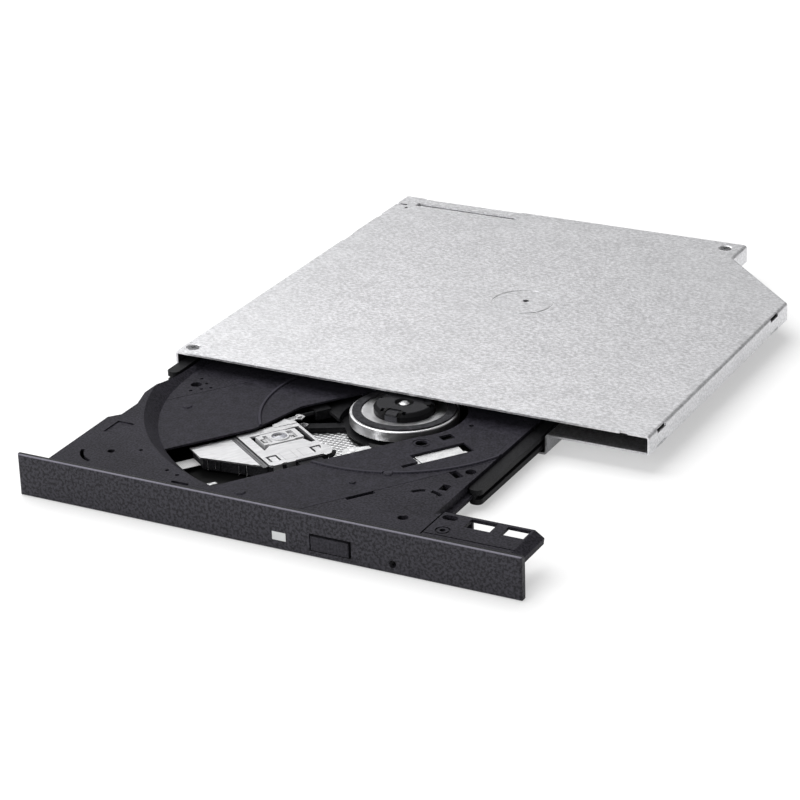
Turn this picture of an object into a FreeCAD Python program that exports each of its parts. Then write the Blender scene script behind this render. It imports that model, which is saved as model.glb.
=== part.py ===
import FreeCAD, Part
import math
import os

V = FreeCAD.Vector

# Slim tray-load disc drive, millimetres. X runs to the right, Y to the back, Z up. Lengths along Y start at
# the front edge of the case, those of the tray as they are with the tray shut. The tray is then drawn forward
# by TRAY_OUT, and the whole drive is moved so that the centre of the underside of the case is the origin.

# Case
CASE_WIDTH = 128.0
CASE_DEPTH = 126.1
CASE_HEIGHT = 9.5
SHEET = 0.5
BEND = 0.4
WING_WIDTH = 26.0
WING_DEPTH = 4.7
WING_LENGTH = 91.3
CHAMFER_WIDTH = 24.5
CHAMFER_LENGTH = 24.8
HOOK_LENGTH = 5.0
HOOK_FRONT_Y = 4.9
HOOK_BACK_Y = 79.1
SKIRT_SLOT_HEIGHT = 1.0
REAR_SLOT_WIDTH = 2.2
REAR_SLOT_Y = 119.8
SEAT_RADIUS = 1.95
SEAT_DEPTH = 0.35
SEAT_INSET = 2.6
COVER_SCREW_HEAD = 1.45
COVER_SCREW_SHANK = 0.7
SCREW_PLAY = 0.06
SIDE_THREAD = 0.8
SIDE_COLLAR = 1.3
SIDE_COLLAR_STANDS_IN = 0.2
SIDE_HOLE_Y = 5.65
STEP_HOLE_Y = 8.2
SIDE_HOLE_BACK_Y = 100.4
SIDE_HOLE_Z = 1.9
LATCH_POST_RADIUS = 1.2
LATCH_POST_TOP = 3.4

# Tray
TRAY_OUT = 66.9
TRAY_BACK = 121.0
FRONT_GAP = 0.3
TRAY_WALL = 0.9
COVER_LIFT = 0.4
COVER_SHEET = 0.2
TRAY_WALL_HEIGHT = 3.6
FLOOR_THICK = 1.0
RIM_RISE = 2.7
SPINDLE_X = 1.6
SPINDLE_Y = 64.6
SEAT_FLOOR_RADIUS = 59.0
SEAT_RIM_RADIUS = 62.2
RIDGE_RADIUS = 34.8
RIDGE_WIDTH = 1.0
RIDGE_HEIGHT = 0.4
NOSE_LENGTH = 13.6
BLOCK_LENGTH = 14.4
BLOCK_END_GAP = 2.2
BLOCK_HEIGHT = 3.0
RIB = 1.2
LOW_END = 97.5

# Bezel
BEZEL_THICK = 1.9
BEZEL_BOTTOM = 0.05
BEZEL_HEIGHT = 10.35
BUTTON_X = 12.75
BUTTON_WIDTH = 10.4
BUTTON_Z = 1.5
BUTTON_HEIGHT = 4.2
BUTTON_GAP = 0.25
BUTTON_TRAVEL = 0.5
WINDOW_X = 3.3
WINDOW_WIDTH = 3.5
WINDOW_Z = 2.37
WINDOW_HEIGHT = 2.06
EJECT_HOLE_X = 33.3
EJECT_HOLE_Z = 2.44
EJECT_HOLE_RADIUS = 0.9

# Rails
RAIL_WIDTH = 3.2
RAIL_HEIGHT = 3.6
RAIL_GROOVE = 1.2
RAIL_SLOT = 1.0
RAIL_PLAY = 0.1
RAIL_GAP = 0.2
GUIDE_BASE = 0.4
LEFT_RAIL_Z = 5.2
RIGHT_RAIL_Z = 3.1
LEFT_RAIL_START = 26.5
LEFT_RAIL_LENGTH = 90.0
RIGHT_RAIL_LENGTH = 110.0

# Traverse. Its own axes are u, from the spindle away from the pickup, and n, square to it.
TRAVERSE_ANGLE = 54.5
BAND = 35.8
BAND_OPEN = 33.0
BAND_END = 22.0
PLATE_THICK = 0.5
PLATE_PLAY = 0.15
SLOT_LEFT = 9.4
SLOT_RIGHT = 14.8
SLOT_FLARE = 15.3
BASE_HALF = 31.6
BASE_THICK = 0.8
BASE_LIFT = 1.8
BASE_OPEN_RIGHT = 28.0
BASE_OPEN_LEFT = 17.9
SHAFT_LIFT = 2.0
MAIN_SHAFT_RADIUS = 1.0
MAIN_SHAFT_N = -18.0
SUB_SHAFT_RADIUS = 0.9
SUB_SHAFT_N = 15.4
LEAD_RADIUS = 0.9
LEAD_N = -25.6
LEAD_START = -10.6
LEAD_END = -53.0
SLED_MOTOR_RADIUS = 2.2
SLED_MOTOR_HALF = 1.7
SLED_MOTOR_LENGTH = 11.5
SHAFT_PLAY = 0.05

# Spindle
ROTOR_RADIUS = 13.3
ROTOR_HEIGHT = 2.6
ROTOR_WALL = 0.4
PAD_OUTER = 12.6
PAD_INNER = 10.4
PAD_THICK = 0.4
HUB_RADIUS = 7.45
HUB_HEIGHT = 2.0
CLAW_DEPTH = 0.9
SPINDLE_SHAFT = 0.75
MOTOR_PLATE_RADIUS = 14.4

# Pickup, at the place where the photograph shows it
PICKUP_U = -24.5
LENS_U = -31.4
LENS_N = 3.6
LENS_RADIUS = 1.9
PICKUP_TOP = 3.7
PICKUP_SHEET = 0.4

# Latch
LATCH_X = 27.3
LATCH_Y = 23.4
LATCH_PIN = 0.9
LATCH_ARM = 8.0
LEVER_THICK = 0.8

# Electrics
BOARD_THICK = 0.8
BOARD_FRONT = 99.0
BOARD_LIFT = 0.8
CONNECTOR_WIDTH = 32.8
CONNECTOR_LEFT = 5.5
RIBBON_WIDTH = 12.0
RIBBON_THICK = 0.12


def point(corner):
    return V(corner[0], corner[1], 0)


def wire_of(points, place):
    """Closed wire through corners (a, b) or (a, b, radius), put into space by place."""
    runs = []
    for k, corner in enumerate(points):
        here = point(corner)
        if len(corner) < 3 or corner[2] <= 0:
            runs.append((here, None, here))
            continue
        back = point(points[k - 1]) - here
        ahead = point(points[(k + 1) % len(points)]) - here
        half = back.getAngle(ahead) / 2
        back.normalize()
        ahead.normalize()
        reach = corner[2] / math.tan(half)
        middle = back + ahead
        middle.normalize()
        depth = corner[2] / math.sin(half) - corner[2]
        runs.append((here + back * reach, here + middle * depth, here + ahead * reach))
    edges = []
    for k, (start, middle, end) in enumerate(runs):
        if middle is not None:
            edges.append(Part.Arc(place(start), place(middle), place(end)).toShape())
        following = runs[(k + 1) % len(runs)][0]
        if (following - end).Length > 1e-6:
            edges.append(Part.makeLine(place(end), place(following)))
    return Part.Wire(edges)


def prism(points, z0, z1):
    face = Part.Face(wire_of(points, lambda p: V(p.x, p.y, z0)))
    return face.extrude(V(0, 0, z1 - z0))


def along_y(points, y0, y1):
    """Section of (x, z) corners drawn out from y0 to y1."""
    face = Part.Face(wire_of(points, lambda p: V(p.x, y0, p.y)))
    return face.extrude(V(0, y1 - y0, 0))


def along_x(points, x0, x1):
    """Section of (y, z) corners drawn out from x0 to x1."""
    face = Part.Face(wire_of(points, lambda p: V(x0, p.x, p.y)))
    return face.extrude(V(x1 - x0, 0, 0))


def turned(profile, x=0.0, y=0.0):
    """Solid of revolution about the upright through x, y, from (radius, z) corners."""
    face = Part.Face(wire_of(profile, lambda p: V(p.x, 0, p.y)))
    solid = face.revolve(V(0, 0, 0), V(0, 0, 1), 360)
    solid.translate(V(x, y, 0))
    return solid


def box(x0, x1, y0, y1, z0, z1):
    return Part.makeBox(x1 - x0, y1 - y0, z1 - z0, V(x0, y0, z0))


def pin(radius, x, y, z0, z1):
    return Part.makeCylinder(radius, z1 - z0, V(x, y, z0))


def pin_x(radius, y, z, x0, x1):
    return Part.makeCylinder(radius, x1 - x0, V(x0, y, z), V(1, 0, 0))


def pin_y(radius, x, z, y0, y1):
    return Part.makeCylinder(radius, y1 - y0, V(x, y0, z), V(0, 1, 0))


def slot(x0, y0, x1, y1, radius, z0, z1):
    """Upright obround between two points."""
    run = V(x1 - x0, y1 - y0, 0)
    run.normalize()
    side = V(-run.y, run.x, 0) * radius
    a = V(x0, y0, 0)
    b = V(x1, y1, 0)
    corners = [a - side, b - side, b + side, a + side]
    bar = prism([(c.x, c.y) for c in corners], z0, z1)
    return bar.fuse([pin(radius, x0, y0, z0, z1), pin(radius, x1, y1, z0, z1)]).removeSplitter()


def arc_slot(x, y, radius, width, start, end, z0, z1):
    """Upright curved slot about x, y from one angle to another, in degrees."""
    ring = turned([(radius - width / 2, z0), (radius + width / 2, z0),
                   (radius + width / 2, z1), (radius - width / 2, z1)])
    reach = radius * 2
    corners = [(0, 0)]
    for step_angle in range(5):
        angle = math.radians(start + (end - start) * step_angle / 4)
        corners.append((reach * math.cos(angle), reach * math.sin(angle)))
    piece = ring.common(prism(corners, z0, z1))
    piece.translate(V(x, y, 0))
    return piece


def inset(points, distance):
    """Plan moved inwards by distance on every side. The corners run anticlockwise."""
    moved = []
    for k, corner in enumerate(points):
        here = point(corner)
        first = here - point(points[k - 1])
        second = point(points[(k + 1) % len(points)]) - here
        first.normalize()
        second.normalize()
        left_of_first = V(-first.y, first.x, 0)
        left_of_second = V(-second.y, second.x, 0)
        both = left_of_first + left_of_second
        shift = both * (distance / (1 + left_of_first.dot(left_of_second)))
        moved.append((here.x + shift.x, here.y + shift.y))
    return moved


def fillet(shape, radius, chosen):
    return shape.makeFillet(radius, [edge for edge in shape.Edges if chosen(edge)])


def upright(edge):
    box_of = edge.BoundBox
    return box_of.XLength < 1e-6 and box_of.YLength < 1e-6


def turn(shape, angle):
    turned_shape = shape.copy()
    turned_shape.rotate(V(0, 0, 0), V(0, 0, 1), angle)
    return turned_shape


def in_tray(shape):
    """From the axes of the traverse to those of the tray."""
    placed = turn(shape, TRAVERSE_ANGLE)
    placed.translate(V(SPINDLE_X, SPINDLE_Y, 0))
    return placed


def fused(shapes):
    return shapes[0].fuse(shapes[1:]).removeSplitter()


def group(shapes):
    return Part.makeCompound(shapes)


# Levels and edges that several pieces share
left = -CASE_WIDTH / 2
right = CASE_WIDTH / 2
step = right - WING_WIDTH
inside = step - SHEET
wall_left = left + SHEET
tail = right - CHAMFER_WIDTH
chamfer_end = WING_LENGTH + CHAMFER_LENGTH
lid_under = CASE_HEIGHT - SHEET
shelf_under = CASE_HEIGHT - WING_DEPTH
shelf_top = shelf_under + SHEET
bend_out = BEND + SHEET

tray_bottom = SHEET + COVER_LIFT + COVER_SHEET
floor_under = tray_bottom + TRAY_WALL_HEIGHT
floor_top = floor_under + FLOOR_THICK
rim_top = floor_top + RIM_RISE
front = -FRONT_GAP
rail_left = wall_left + GUIDE_BASE + RAIL_GAP
rail_right = inside - GUIDE_BASE - RAIL_GAP - RAIL_WIDTH
tray_left = rail_left + RAIL_WIDTH + 1.0
tray_right = rail_right - RAIL_GAP
nose_right = inside - RAIL_GAP
post_x = LATCH_X + LATCH_POST_RADIUS + 2.0
post_y = LATCH_Y + LATCH_ARM - 3.0

shaft_z = tray_bottom + SHAFT_LIFT
base_z = tray_bottom + BASE_LIFT
base_top = base_z + BASE_THICK
plate_z = floor_top - PLATE_THICK
motor_plate_z = tray_bottom + 0.9
motor_plate_top = motor_plate_z + 0.4
rotor_top = floor_top + 0.5
rotor_z = rotor_top - ROTOR_HEIGHT
pad_top = rotor_top + PAD_THICK
pickup_z = tray_bottom + PICKUP_TOP

# Plan of the lid, and a larger one that is open at the front, left and back
case_plan = [(left, 0), (right, 0), (right, WING_LENGTH, 1.5), (tail, chamfer_end, 1.5),
             (tail, CASE_DEPTH), (left, CASE_DEPTH)]
open_plan = [(left - 5, -5), (right, -5), (right, WING_LENGTH), (tail, chamfer_end),
             (tail, CASE_DEPTH + 5), (left - 5, CASE_DEPTH + 5)]
hook_spans = [(HOOK_FRONT_Y, HOOK_FRONT_Y + HOOK_LENGTH), (HOOK_BACK_Y, HOOK_BACK_Y + HOOK_LENGTH)]
screw_seats = [(wall_left + SEAT_INSET - 0.5, 4.2), (inside - SEAT_INSET, CASE_DEPTH - 4.1)]
connector_x = left + CONNECTOR_LEFT


# Lid, folded down on the right and along the chamfer
lid_block = prism(case_plan, shelf_under, CASE_HEIGHT)
lid_block = fillet(lid_block, bend_out, lambda e: abs(e.BoundBox.ZMin - CASE_HEIGHT) < 1e-6
                   and e.BoundBox.ZLength < 1e-6 and e.CenterOfMass.x > step
                   and 0.01 < e.CenterOfMass.y < CASE_DEPTH - 0.01)
lid_core = prism(inset(open_plan, SHEET), shelf_under - 1, lid_under)
lid_core = fillet(lid_core, BEND, lambda e: abs(e.BoundBox.ZMin - lid_under) < 1e-6
                  and e.BoundBox.ZLength < 1e-6 and e.CenterOfMass.x > step
                  and 0.01 < e.CenterOfMass.y < CASE_DEPTH + 1)
top_cover = lid_block.cut(lid_core)
seat_z = CASE_HEIGHT - SEAT_DEPTH
dishes = [turned([(0, lid_under - SEAT_DEPTH), (SEAT_RADIUS - 0.1, lid_under - SEAT_DEPTH),
                  (SEAT_RADIUS + 0.4, lid_under), (SEAT_RADIUS + 0.4, lid_under + 0.1),
                  (0, lid_under + 0.1)], x, y) for x, y in screw_seats]
top_cover = top_cover.fuse(dishes)
lid_cuts = []
for x, y in screw_seats:
    lid_cuts.append(turned([(0, seat_z), (SEAT_RADIUS - 0.4, seat_z), (SEAT_RADIUS, CASE_HEIGHT),
                            (SEAT_RADIUS, CASE_HEIGHT + 1), (0, CASE_HEIGHT + 1)], x, y))
    lid_cuts.append(pin(COVER_SCREW_SHANK + SCREW_PLAY, x, y, lid_under - 1, CASE_HEIGHT))
for y0, y1 in hook_spans:
    lid_cuts.append(box(right - SHEET - 0.1, right + 1, y0, y1, lid_under - SKIRT_SLOT_HEIGHT + 0.3,
                        lid_under + 0.3))
    lid_cuts.append(box(right - SHEET - 0.1, right + 1, y0, y1, shelf_under - 1, shelf_top + 0.1))
rear_slot_y = REAR_SLOT_Y + REAR_SLOT_WIDTH
lid_cuts.append(prism([(connector_x + 0.2, REAR_SLOT_Y), (connector_x + CONNECTOR_WIDTH - 2.3, REAR_SLOT_Y),
                       (connector_x + CONNECTOR_WIDTH - 0.5, rear_slot_y), (connector_x + 0.2, rear_slot_y)],
                      lid_under - 1, CASE_HEIGHT + 1))
lid_cuts.append(box(connector_x + 0.5, connector_x + CONNECTOR_WIDTH - 2, CASE_DEPTH - 0.6, CASE_DEPTH + 1,
                    lid_under - 1, CASE_HEIGHT + 1))
lid_cuts.append(box(left - 1, left + 3.2, REAR_SLOT_Y - 0.8, REAR_SLOT_Y + 0.2, lid_under - 1, CASE_HEIGHT + 1))
lid_cuts.append(pin(0.5, left + 4.0, REAR_SLOT_Y - 2.5, lid_under - 1, CASE_HEIGHT + 1))
lid_cuts.append(box(left - 1, left + 0.35, 86.7, 93.0, lid_under - 1, CASE_HEIGHT + 1))
lid_cuts.append(box(left - 1, left + 0.35, 106.8, 110.0, lid_under - 1, CASE_HEIGHT + 1))
lid_cuts.append(box(right - 7.5, right - 5.5, -1, 0.5, lid_under - 1, CASE_HEIGHT + 1))
lid_cuts.append(pin(0.8, SPINDLE_X + 0.2, SPINDLE_Y + 1.0, lid_under - 1, CASE_HEIGHT + 1))
lid_cuts.append(turned([(7.6, CASE_HEIGHT - 0.12), (8.4, CASE_HEIGHT - 0.12), (8.6, CASE_HEIGHT + 1),
                        (7.4, CASE_HEIGHT + 1)], SPINDLE_X, SPINDLE_Y))
top_cover = top_cover.cut(lid_cuts).removeSplitter()

# Bottom pan: left wall, floor, step wall and shelf are one folded section
wing_edge = right - SHEET - RAIL_PLAY
pan_section = [(left, 0, bend_out), (step, 0, bend_out), (step, shelf_under, BEND), (wing_edge, shelf_under),
               (wing_edge, shelf_top), (inside, shelf_top, bend_out), (inside, SHEET, BEND),
               (wall_left, SHEET, BEND), (wall_left, lid_under), (left, lid_under)]
pan = along_y(pan_section, 0, CASE_DEPTH)
wing_room = prism(inset(open_plan, SHEET + RAIL_PLAY), shelf_under - 1, lid_under)
pan = pan.cut(box(step + 0.01, right + 5, -1, CASE_DEPTH + 1, shelf_under - 0.5, lid_under).cut(wing_room))
pan_adds = [box(left, step, CASE_DEPTH - SHEET, CASE_DEPTH, 0, lid_under),
            box(inside, step, chamfer_end, CASE_DEPTH, SHEET, lid_under)]
for y0, y1 in hook_spans:
    pan_adds.append(box(wing_edge - 1, right, y0 + 0.1, y1 - 0.1, shelf_under, shelf_top))
tab_top = lid_under - SEAT_DEPTH
tab_z = tab_top - SHEET
for (x, y), toward in zip(screw_seats, (-1, 1)):
    near = x - toward * (SEAT_RADIUS + 0.4)
    far = wall_left - 0.1 if toward < 0 else inside + 0.1
    pan_adds.append(box(min(near, far), max(near, far), y - SEAT_INSET, y + SEAT_INSET, tab_z, tab_top))
side_holes = [(1, STEP_HOLE_Y), (-1, SIDE_HOLE_Y), (-1, SIDE_HOLE_BACK_Y)]
side_inserts = []
for side, y in side_holes:
    outer = step if side > 0 else left
    inner = outer - side * (SHEET + SIDE_COLLAR_STANDS_IN)
    collar = pin_x(SIDE_COLLAR, y, SIDE_HOLE_Z, min(outer, inner), max(outer, inner))
    side_inserts.append(collar.cut(pin_x(SIDE_THREAD, y, SIDE_HOLE_Z, min(outer, inner) - 1, max(outer, inner) + 1)))
board_bosses = [(left + 12.0, BOARD_FRONT + 4.0), (24.0, BOARD_FRONT + 4.0), (-8.0, CASE_DEPTH - 5.0)]
for x, y in board_bosses:
    pan_adds.append(pin(2.0, x, y, SHEET - 0.1, SHEET + BOARD_LIFT))
rod_stop_y = TRAY_BACK + 0.6
pan_adds.append(box(post_x - 1.8, post_x + 1.6, rod_stop_y, rod_stop_y + SHEET, SHEET - 0.1, floor_under - 0.1))
pan = pan.fuse(pan_adds)
pan_cuts = []
for x, y in screw_seats:
    pan_cuts.append(pin(SEAT_RADIUS + 0.5, x, y, tab_top, lid_under + 0.1))
    pan_cuts.append(pin(COVER_SCREW_SHANK, x, y, tab_z - 1, tab_top + 1))
for side, y in side_holes:
    wall = step if side > 0 else left
    pan_cuts.append(pin_x(SIDE_COLLAR, y, SIDE_HOLE_Z, min(wall + side, wall - side), max(wall + side, wall - side)))
pan_cuts.append(box(connector_x - 0.3, connector_x + CONNECTOR_WIDTH + 0.3, CASE_DEPTH - SHEET - 0.1,
                    CASE_DEPTH + 1, 1.0, lid_under + 1))
for x, y in board_bosses:
    pan_cuts.append(pin(COVER_SCREW_SHANK, x, y, SHEET - 0.2, SHEET + BOARD_LIFT + 1))
guide_feet_left = [LEFT_RAIL_START + 12.0, LEFT_RAIL_START + 74.0]
guide_feet_right = [14.0, 92.0]
foot_left_x = wall_left + 2.2
foot_right_x = inside - 1.9
foot_holes = [(foot_left_x, y) for y in guide_feet_left] + [(foot_right_x, y) for y in guide_feet_right]
for x, y in foot_holes:
    pan_cuts.append(pin(COVER_SCREW_SHANK, x, y, -1, SHEET + 1))
    pan_cuts.append(pin(COVER_SCREW_HEAD, x, y, -1, 0.3))
pan_cuts.append(pin(0.6, post_x, post_y, -1, SHEET + 1))
bottom_case = pan.cut(pan_cuts).removeSplitter()

latch_post = fused([pin(LATCH_POST_RADIUS, post_x, post_y, SHEET, LATCH_POST_TOP),
                    pin(0.6, post_x, post_y, 0.05, SHEET + 0.1)])
pressed_inserts = group([latch_post] + side_inserts)


def screw(x, y, seat, radius, head, length, up=True):
    """Pan-head screw with a cross recess, its head on the level seat."""
    sign = 1 if up else -1
    head_height = 0.33
    body = [pin(radius, x, y, min(seat, seat + sign * head_height), max(seat, seat + sign * head_height)),
            pin(head, x, y, min(seat, seat - sign * length), max(seat, seat - sign * length))]
    whole = fused(body)
    tip = seat + sign * head_height
    low = min(tip, tip - sign * 0.18)
    high = max(tip, tip - sign * 0.18)
    recess = [box(x - 0.8, x + 0.8, y - 0.16, y + 0.16, low, high),
              box(x - 0.16, x + 0.16, y - 0.8, y + 0.8, low, high)]
    return whole.cut(recess)


cover_screws = group([screw(x, y, seat_z, COVER_SCREW_HEAD, COVER_SCREW_SHANK, 1.6) for x, y in screw_seats])
board_z = SHEET + BOARD_LIFT
board_top = board_z + BOARD_THICK
board_screws = group([screw(x, y, board_top, COVER_SCREW_HEAD, COVER_SCREW_SHANK, BOARD_THICK + BOARD_LIFT)
                      for x, y in board_bosses])
guide_screws = group([screw(x, y, 0.3, COVER_SCREW_HEAD, COVER_SCREW_SHANK, 0.7, up=False)
                      for x, y in foot_holes])
for_guides = 0.3 + 0.7


def rail(x0, z_mid, y0, length):
    """Slide with a groove on both sides and a rounded front end."""
    w = RAIL_WIDTH
    h = RAIL_HEIGHT / 2
    g = RAIL_SLOT / 2
    d = RAIL_GROOVE
    section = [(0, -h), (w, -h), (w, -g), (w - d, -g), (w - d, g), (w, g), (w, h), (0, h), (0, g), (d, g),
               (d, -g), (0, -g)]
    bar = along_y([(x0 + a, z_mid + b) for a, b in section], y0, y0 + length)
    plan = [(x0, y0, 1.4), (x0 + w, y0, 1.4), (x0 + w, y0 + length), (x0, y0 + length)]
    return bar.common(prism(plan, z_mid - h - 1, z_mid + h + 1))


def tongue(x0, x1, z_mid, y0, y1):
    half = RAIL_SLOT / 2 - RAIL_PLAY
    return box(min(x0, x1), max(x0, x1), y0, y1, z_mid - half, z_mid + half)


left_rail = rail(rail_left, LEFT_RAIL_Z, LEFT_RAIL_START, LEFT_RAIL_LENGTH)
right_rail = rail(rail_right, RIGHT_RAIL_Z, 0.0, RIGHT_RAIL_LENGTH)


def guide(wall, sign, z_mid, y0, y1, feet, foot_x, foot_top):
    """Fixed guide on a side wall of the case, with feet on its floor."""
    h = RAIL_HEIGHT / 2
    face = wall + sign * GUIDE_BASE
    parts = [box(min(wall, face), max(wall, face), y0, y1, z_mid - h, z_mid + h),
             tongue(face - sign * 0.1, face + sign * (RAIL_GAP + RAIL_GROOVE - RAIL_PLAY), z_mid, y0, y1)]
    for y in feet:
        foot_end = foot_x + sign * 1.7
        parts.append(box(min(wall, face), max(wall, face), y - 2.2, y + 2.2, SHEET + BEND, z_mid - h + 0.1))
        parts.append(along_y([(wall, SHEET + BEND), (wall + sign * BEND, SHEET), (foot_end, SHEET),
                              (foot_end, foot_top), (wall, foot_top)], y - 2.2, y + 2.2))
    whole = fused(parts)
    holes = [pin(COVER_SCREW_SHANK, foot_x, y, SHEET - 1, for_guides) for y in feet]
    collars = [pin_x(SIDE_COLLAR + 0.4, y, SIDE_HOLE_Z, wall - 2, wall + 2)
               for side, y in side_holes if side != sign]
    return whole.cut(holes + collars)


foot_top_right = RIGHT_RAIL_Z - RAIL_HEIGHT / 2 - 0.15
left_guide = guide(wall_left, 1, LEFT_RAIL_Z, LEFT_RAIL_START - 6.0, CASE_DEPTH - 8.0, guide_feet_left,
                   foot_left_x, tray_bottom + 0.7)
right_guide = guide(inside, -1, RIGHT_RAIL_Z, 3.0, CASE_DEPTH - 8.0, guide_feet_right, foot_right_x,
                    foot_top_right)

# Main board with its parts, on three bosses of the pan
board_right = post_x - 2.4
board_back = CASE_DEPTH - SHEET - 0.3
main_board = prism([(left + 6.5, BOARD_FRONT, 1.0), (board_right, BOARD_FRONT, 1.0), (board_right, board_back, 1.0),
                    (left + 6.5, board_back, 1.0)], board_z, board_top)
main_board = main_board.cut([pin(COVER_SCREW_SHANK + SCREW_PLAY, x, y, board_z - 1, board_top + 1)
                             for x, y in board_bosses])
chip_list = [(-12.0, 109.0, 13.0, 13.0, 1.2), (6.0, 104.0, 8.0, 6.0, 1.1), (6.0, 113.5, 5.0, 5.0, 0.9),
             (18.5, 109.0, 9.0, 9.0, 1.2), (-21.0, 116.5, 4.0, 6.0, 1.6), (-40.0, 104.5, 8.0, 5.0, 1.1),
             (14.0, 119.5, 3.4, 3.4, 1.8), (19.0, 119.5, 3.4, 3.4, 1.8)]
board_chips = group([prism([(x - a / 2, y - b / 2, 0.3), (x + a / 2, y - b / 2, 0.3), (x + a / 2, y + b / 2, 0.3),
                            (x - a / 2, y + b / 2, 0.3)], board_top, board_top + h)
                     for x, y, a, b, h in chip_list])
ribbon_a = -26.0
board_plug = box(ribbon_a - RIBBON_WIDTH / 2 - 1.5, ribbon_a + RIBBON_WIDTH / 2 + 1.5, BOARD_FRONT + 0.4,
                 BOARD_FRONT + 4.0, board_top, board_top + 1.4)

# Rear connector: a hood around two tongues with contacts
hood_front = CASE_DEPTH - 8.2
hood_top = board_top + 5.0
connector_right = connector_x + CONNECTOR_WIDTH
hood = box(connector_x, connector_right, hood_front, CASE_DEPTH, board_top, hood_top)
hood = fillet(hood, 0.6, lambda e: e.BoundBox.XLength < 1e-6 and e.BoundBox.ZLength < 1e-6)
hollow = box(connector_x + 1.0, connector_right - 1.0, CASE_DEPTH - 5.2, CASE_DEPTH + 1, board_top + 0.8,
             hood_top - 0.8)
blade_z = board_top + 2.3
signal = [(connector_x + 3.0, 9.6), (connector_x + 16.0, 12.6)]
blades = []
contacts = []
for x0, width in signal:
    blade = box(x0, x0 + width, CASE_DEPTH - 5.4, CASE_DEPTH - 0.7, blade_z, blade_z + 1.2)
    heel = box(x0, x0 + 1.2, CASE_DEPTH - 5.4, CASE_DEPTH - 0.7, blade_z - 1.1, blade_z + 0.1)
    blades.extend([blade, heel])
    count = 7 if width < 10 else 6
    for k in range(count):
        x = x0 + 1.9 + k * 1.27
        contacts.append(box(x - 0.3, x + 0.3, CASE_DEPTH - 5.2, CASE_DEPTH - 1.2, blade_z + 1.2, blade_z + 1.35))
sata_connector = hood.cut(hollow).fuse(blades).removeSplitter()
connector_contacts = group(contacts)
shield_top = lid_under - 0.15
shield_inner = shield_top - 0.3
shield_section = [(hood_front - 0.3, hood_top - 1.5), (hood_front - 0.3, shield_top, 0.5),
                  (CASE_DEPTH - 1.0, shield_top), (CASE_DEPTH - 1.0, shield_inner), (hood_front, shield_inner),
                  (hood_front, hood_top - 1.5)]
connector_shield = along_x(shield_section, connector_x, connector_right)

# Ribbon: one run lies on the floor and turns round, the other loops up to the tray
ribbon_b = -44.0
run_front = 22.0
loop_start = 34.0
half = RIBBON_WIDTH / 2
ribbon_fixed = prism([(ribbon_b - half, run_front, 3.0), (ribbon_a + half, run_front, 3.0),
                      (ribbon_a + half, BOARD_FRONT + 2.0), (ribbon_a - half, BOARD_FRONT + 2.0),
                      (ribbon_a - half, run_front + RIBBON_WIDTH, 1.0),
                      (ribbon_b + half, run_front + RIBBON_WIDTH, 1.0), (ribbon_b + half, loop_start + 4.0),
                      (ribbon_b - half, loop_start + 4.0)], SHEET, SHEET + RIBBON_THICK)
clamp_y = 90.0
loop_back = (clamp_y - TRAY_OUT / 2 + 2.0) + 4.0
loop_low = SHEET + RIBBON_THICK
loop_high = floor_under - 0.5
loop_mid = (loop_low + loop_high) / 2
loop_radius = (loop_high - loop_low) / 2
loop_ring = pin_x(loop_radius, loop_back, loop_mid, ribbon_b - half, ribbon_b + half).cut(
    pin_x(loop_radius - RIBBON_THICK, loop_back, loop_mid, ribbon_b - half - 1, ribbon_b + half + 1))
loop_ring = loop_ring.common(box(ribbon_b - half, ribbon_b + half, loop_back, loop_back + 5, 0, 9))
ribbon_loop = fused([box(ribbon_b - half, ribbon_b + half, loop_start, loop_back, loop_low, loop_low + RIBBON_THICK),
                     loop_ring,
                     box(ribbon_b - half, ribbon_b + half, clamp_y - TRAY_OUT, loop_back,
                         loop_high - RIBBON_THICK, loop_high)])

# Tray moulding
tray_plan = [(tray_left + 0.2, front), (nose_right, front), (nose_right, NOSE_LENGTH), (tray_right, NOSE_LENGTH),
             (tray_right, TRAY_BACK), (-24.0, TRAY_BACK), (-24.0, TRAY_BACK - 5.0), (tray_left, TRAY_BACK - 5.0),
             (tray_left, 44.0), (tray_left + 2.0, 37.5), (tray_left + 2.0, 30.5), (tray_left - 0.2, 27.9)]
inner_plan = inset(tray_plan, TRAY_WALL)
seat = turned([(0, floor_top), (SEAT_FLOOR_RADIUS, floor_top), (SEAT_RIM_RADIUS, rim_top),
               (SEAT_RIM_RADIUS, rim_top + 1), (0, rim_top + 1)], SPINDLE_X, SPINDLE_Y)


def band(u0, u1, half_width, z0, z1):
    return in_tray(box(u0, u1, -half_width, half_width, z0, z1))


body = prism(tray_plan, tray_bottom, rim_top).cut(seat)
inner_low = prism(inner_plan, 0, floor_under)
inner_through = prism(inner_plan, 0, floor_top)
opening = band(-95, BAND_END - 3.0, BAND_OPEN, 0, floor_top).common(inner_through)
outside_band = inner_low.cut(band(-95, BAND_END - 3.0 + RIB, BAND_OPEN + RIB, -1, floor_under + 1))
rim_hollow = prism(inner_plan, floor_under - 0.1, rim_top - TRAY_WALL).cut(
    pin(SEAT_RIM_RADIUS + 1.0, SPINDLE_X, SPINDLE_Y, 0, 20))
tray_cuts = [opening, outside_band, rim_hollow,
             box(tray_right, nose_right + 1, front - 1, NOSE_LENGTH + 1, 0, RIGHT_RAIL_Z + RAIL_HEIGHT / 2 + 0.2),
             box(left, tray_right - TRAY_WALL, LOW_END, TRAY_BACK + 1, 0, floor_under),
             box(tray_right - 12.0, tray_right + 1, LOW_END, TRAY_BACK + 1, floor_top, rim_top + 1)]
plate_seat = band(-61.2, BAND_END, BAND, plate_z, floor_top).common(
    pin(SEAT_FLOOR_RADIUS + 2.2, SPINDLE_X, SPINDLE_Y, plate_z - 1, floor_top + 1))
tray_cuts.append(plate_seat)
body = body.cut(tray_cuts)

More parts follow.
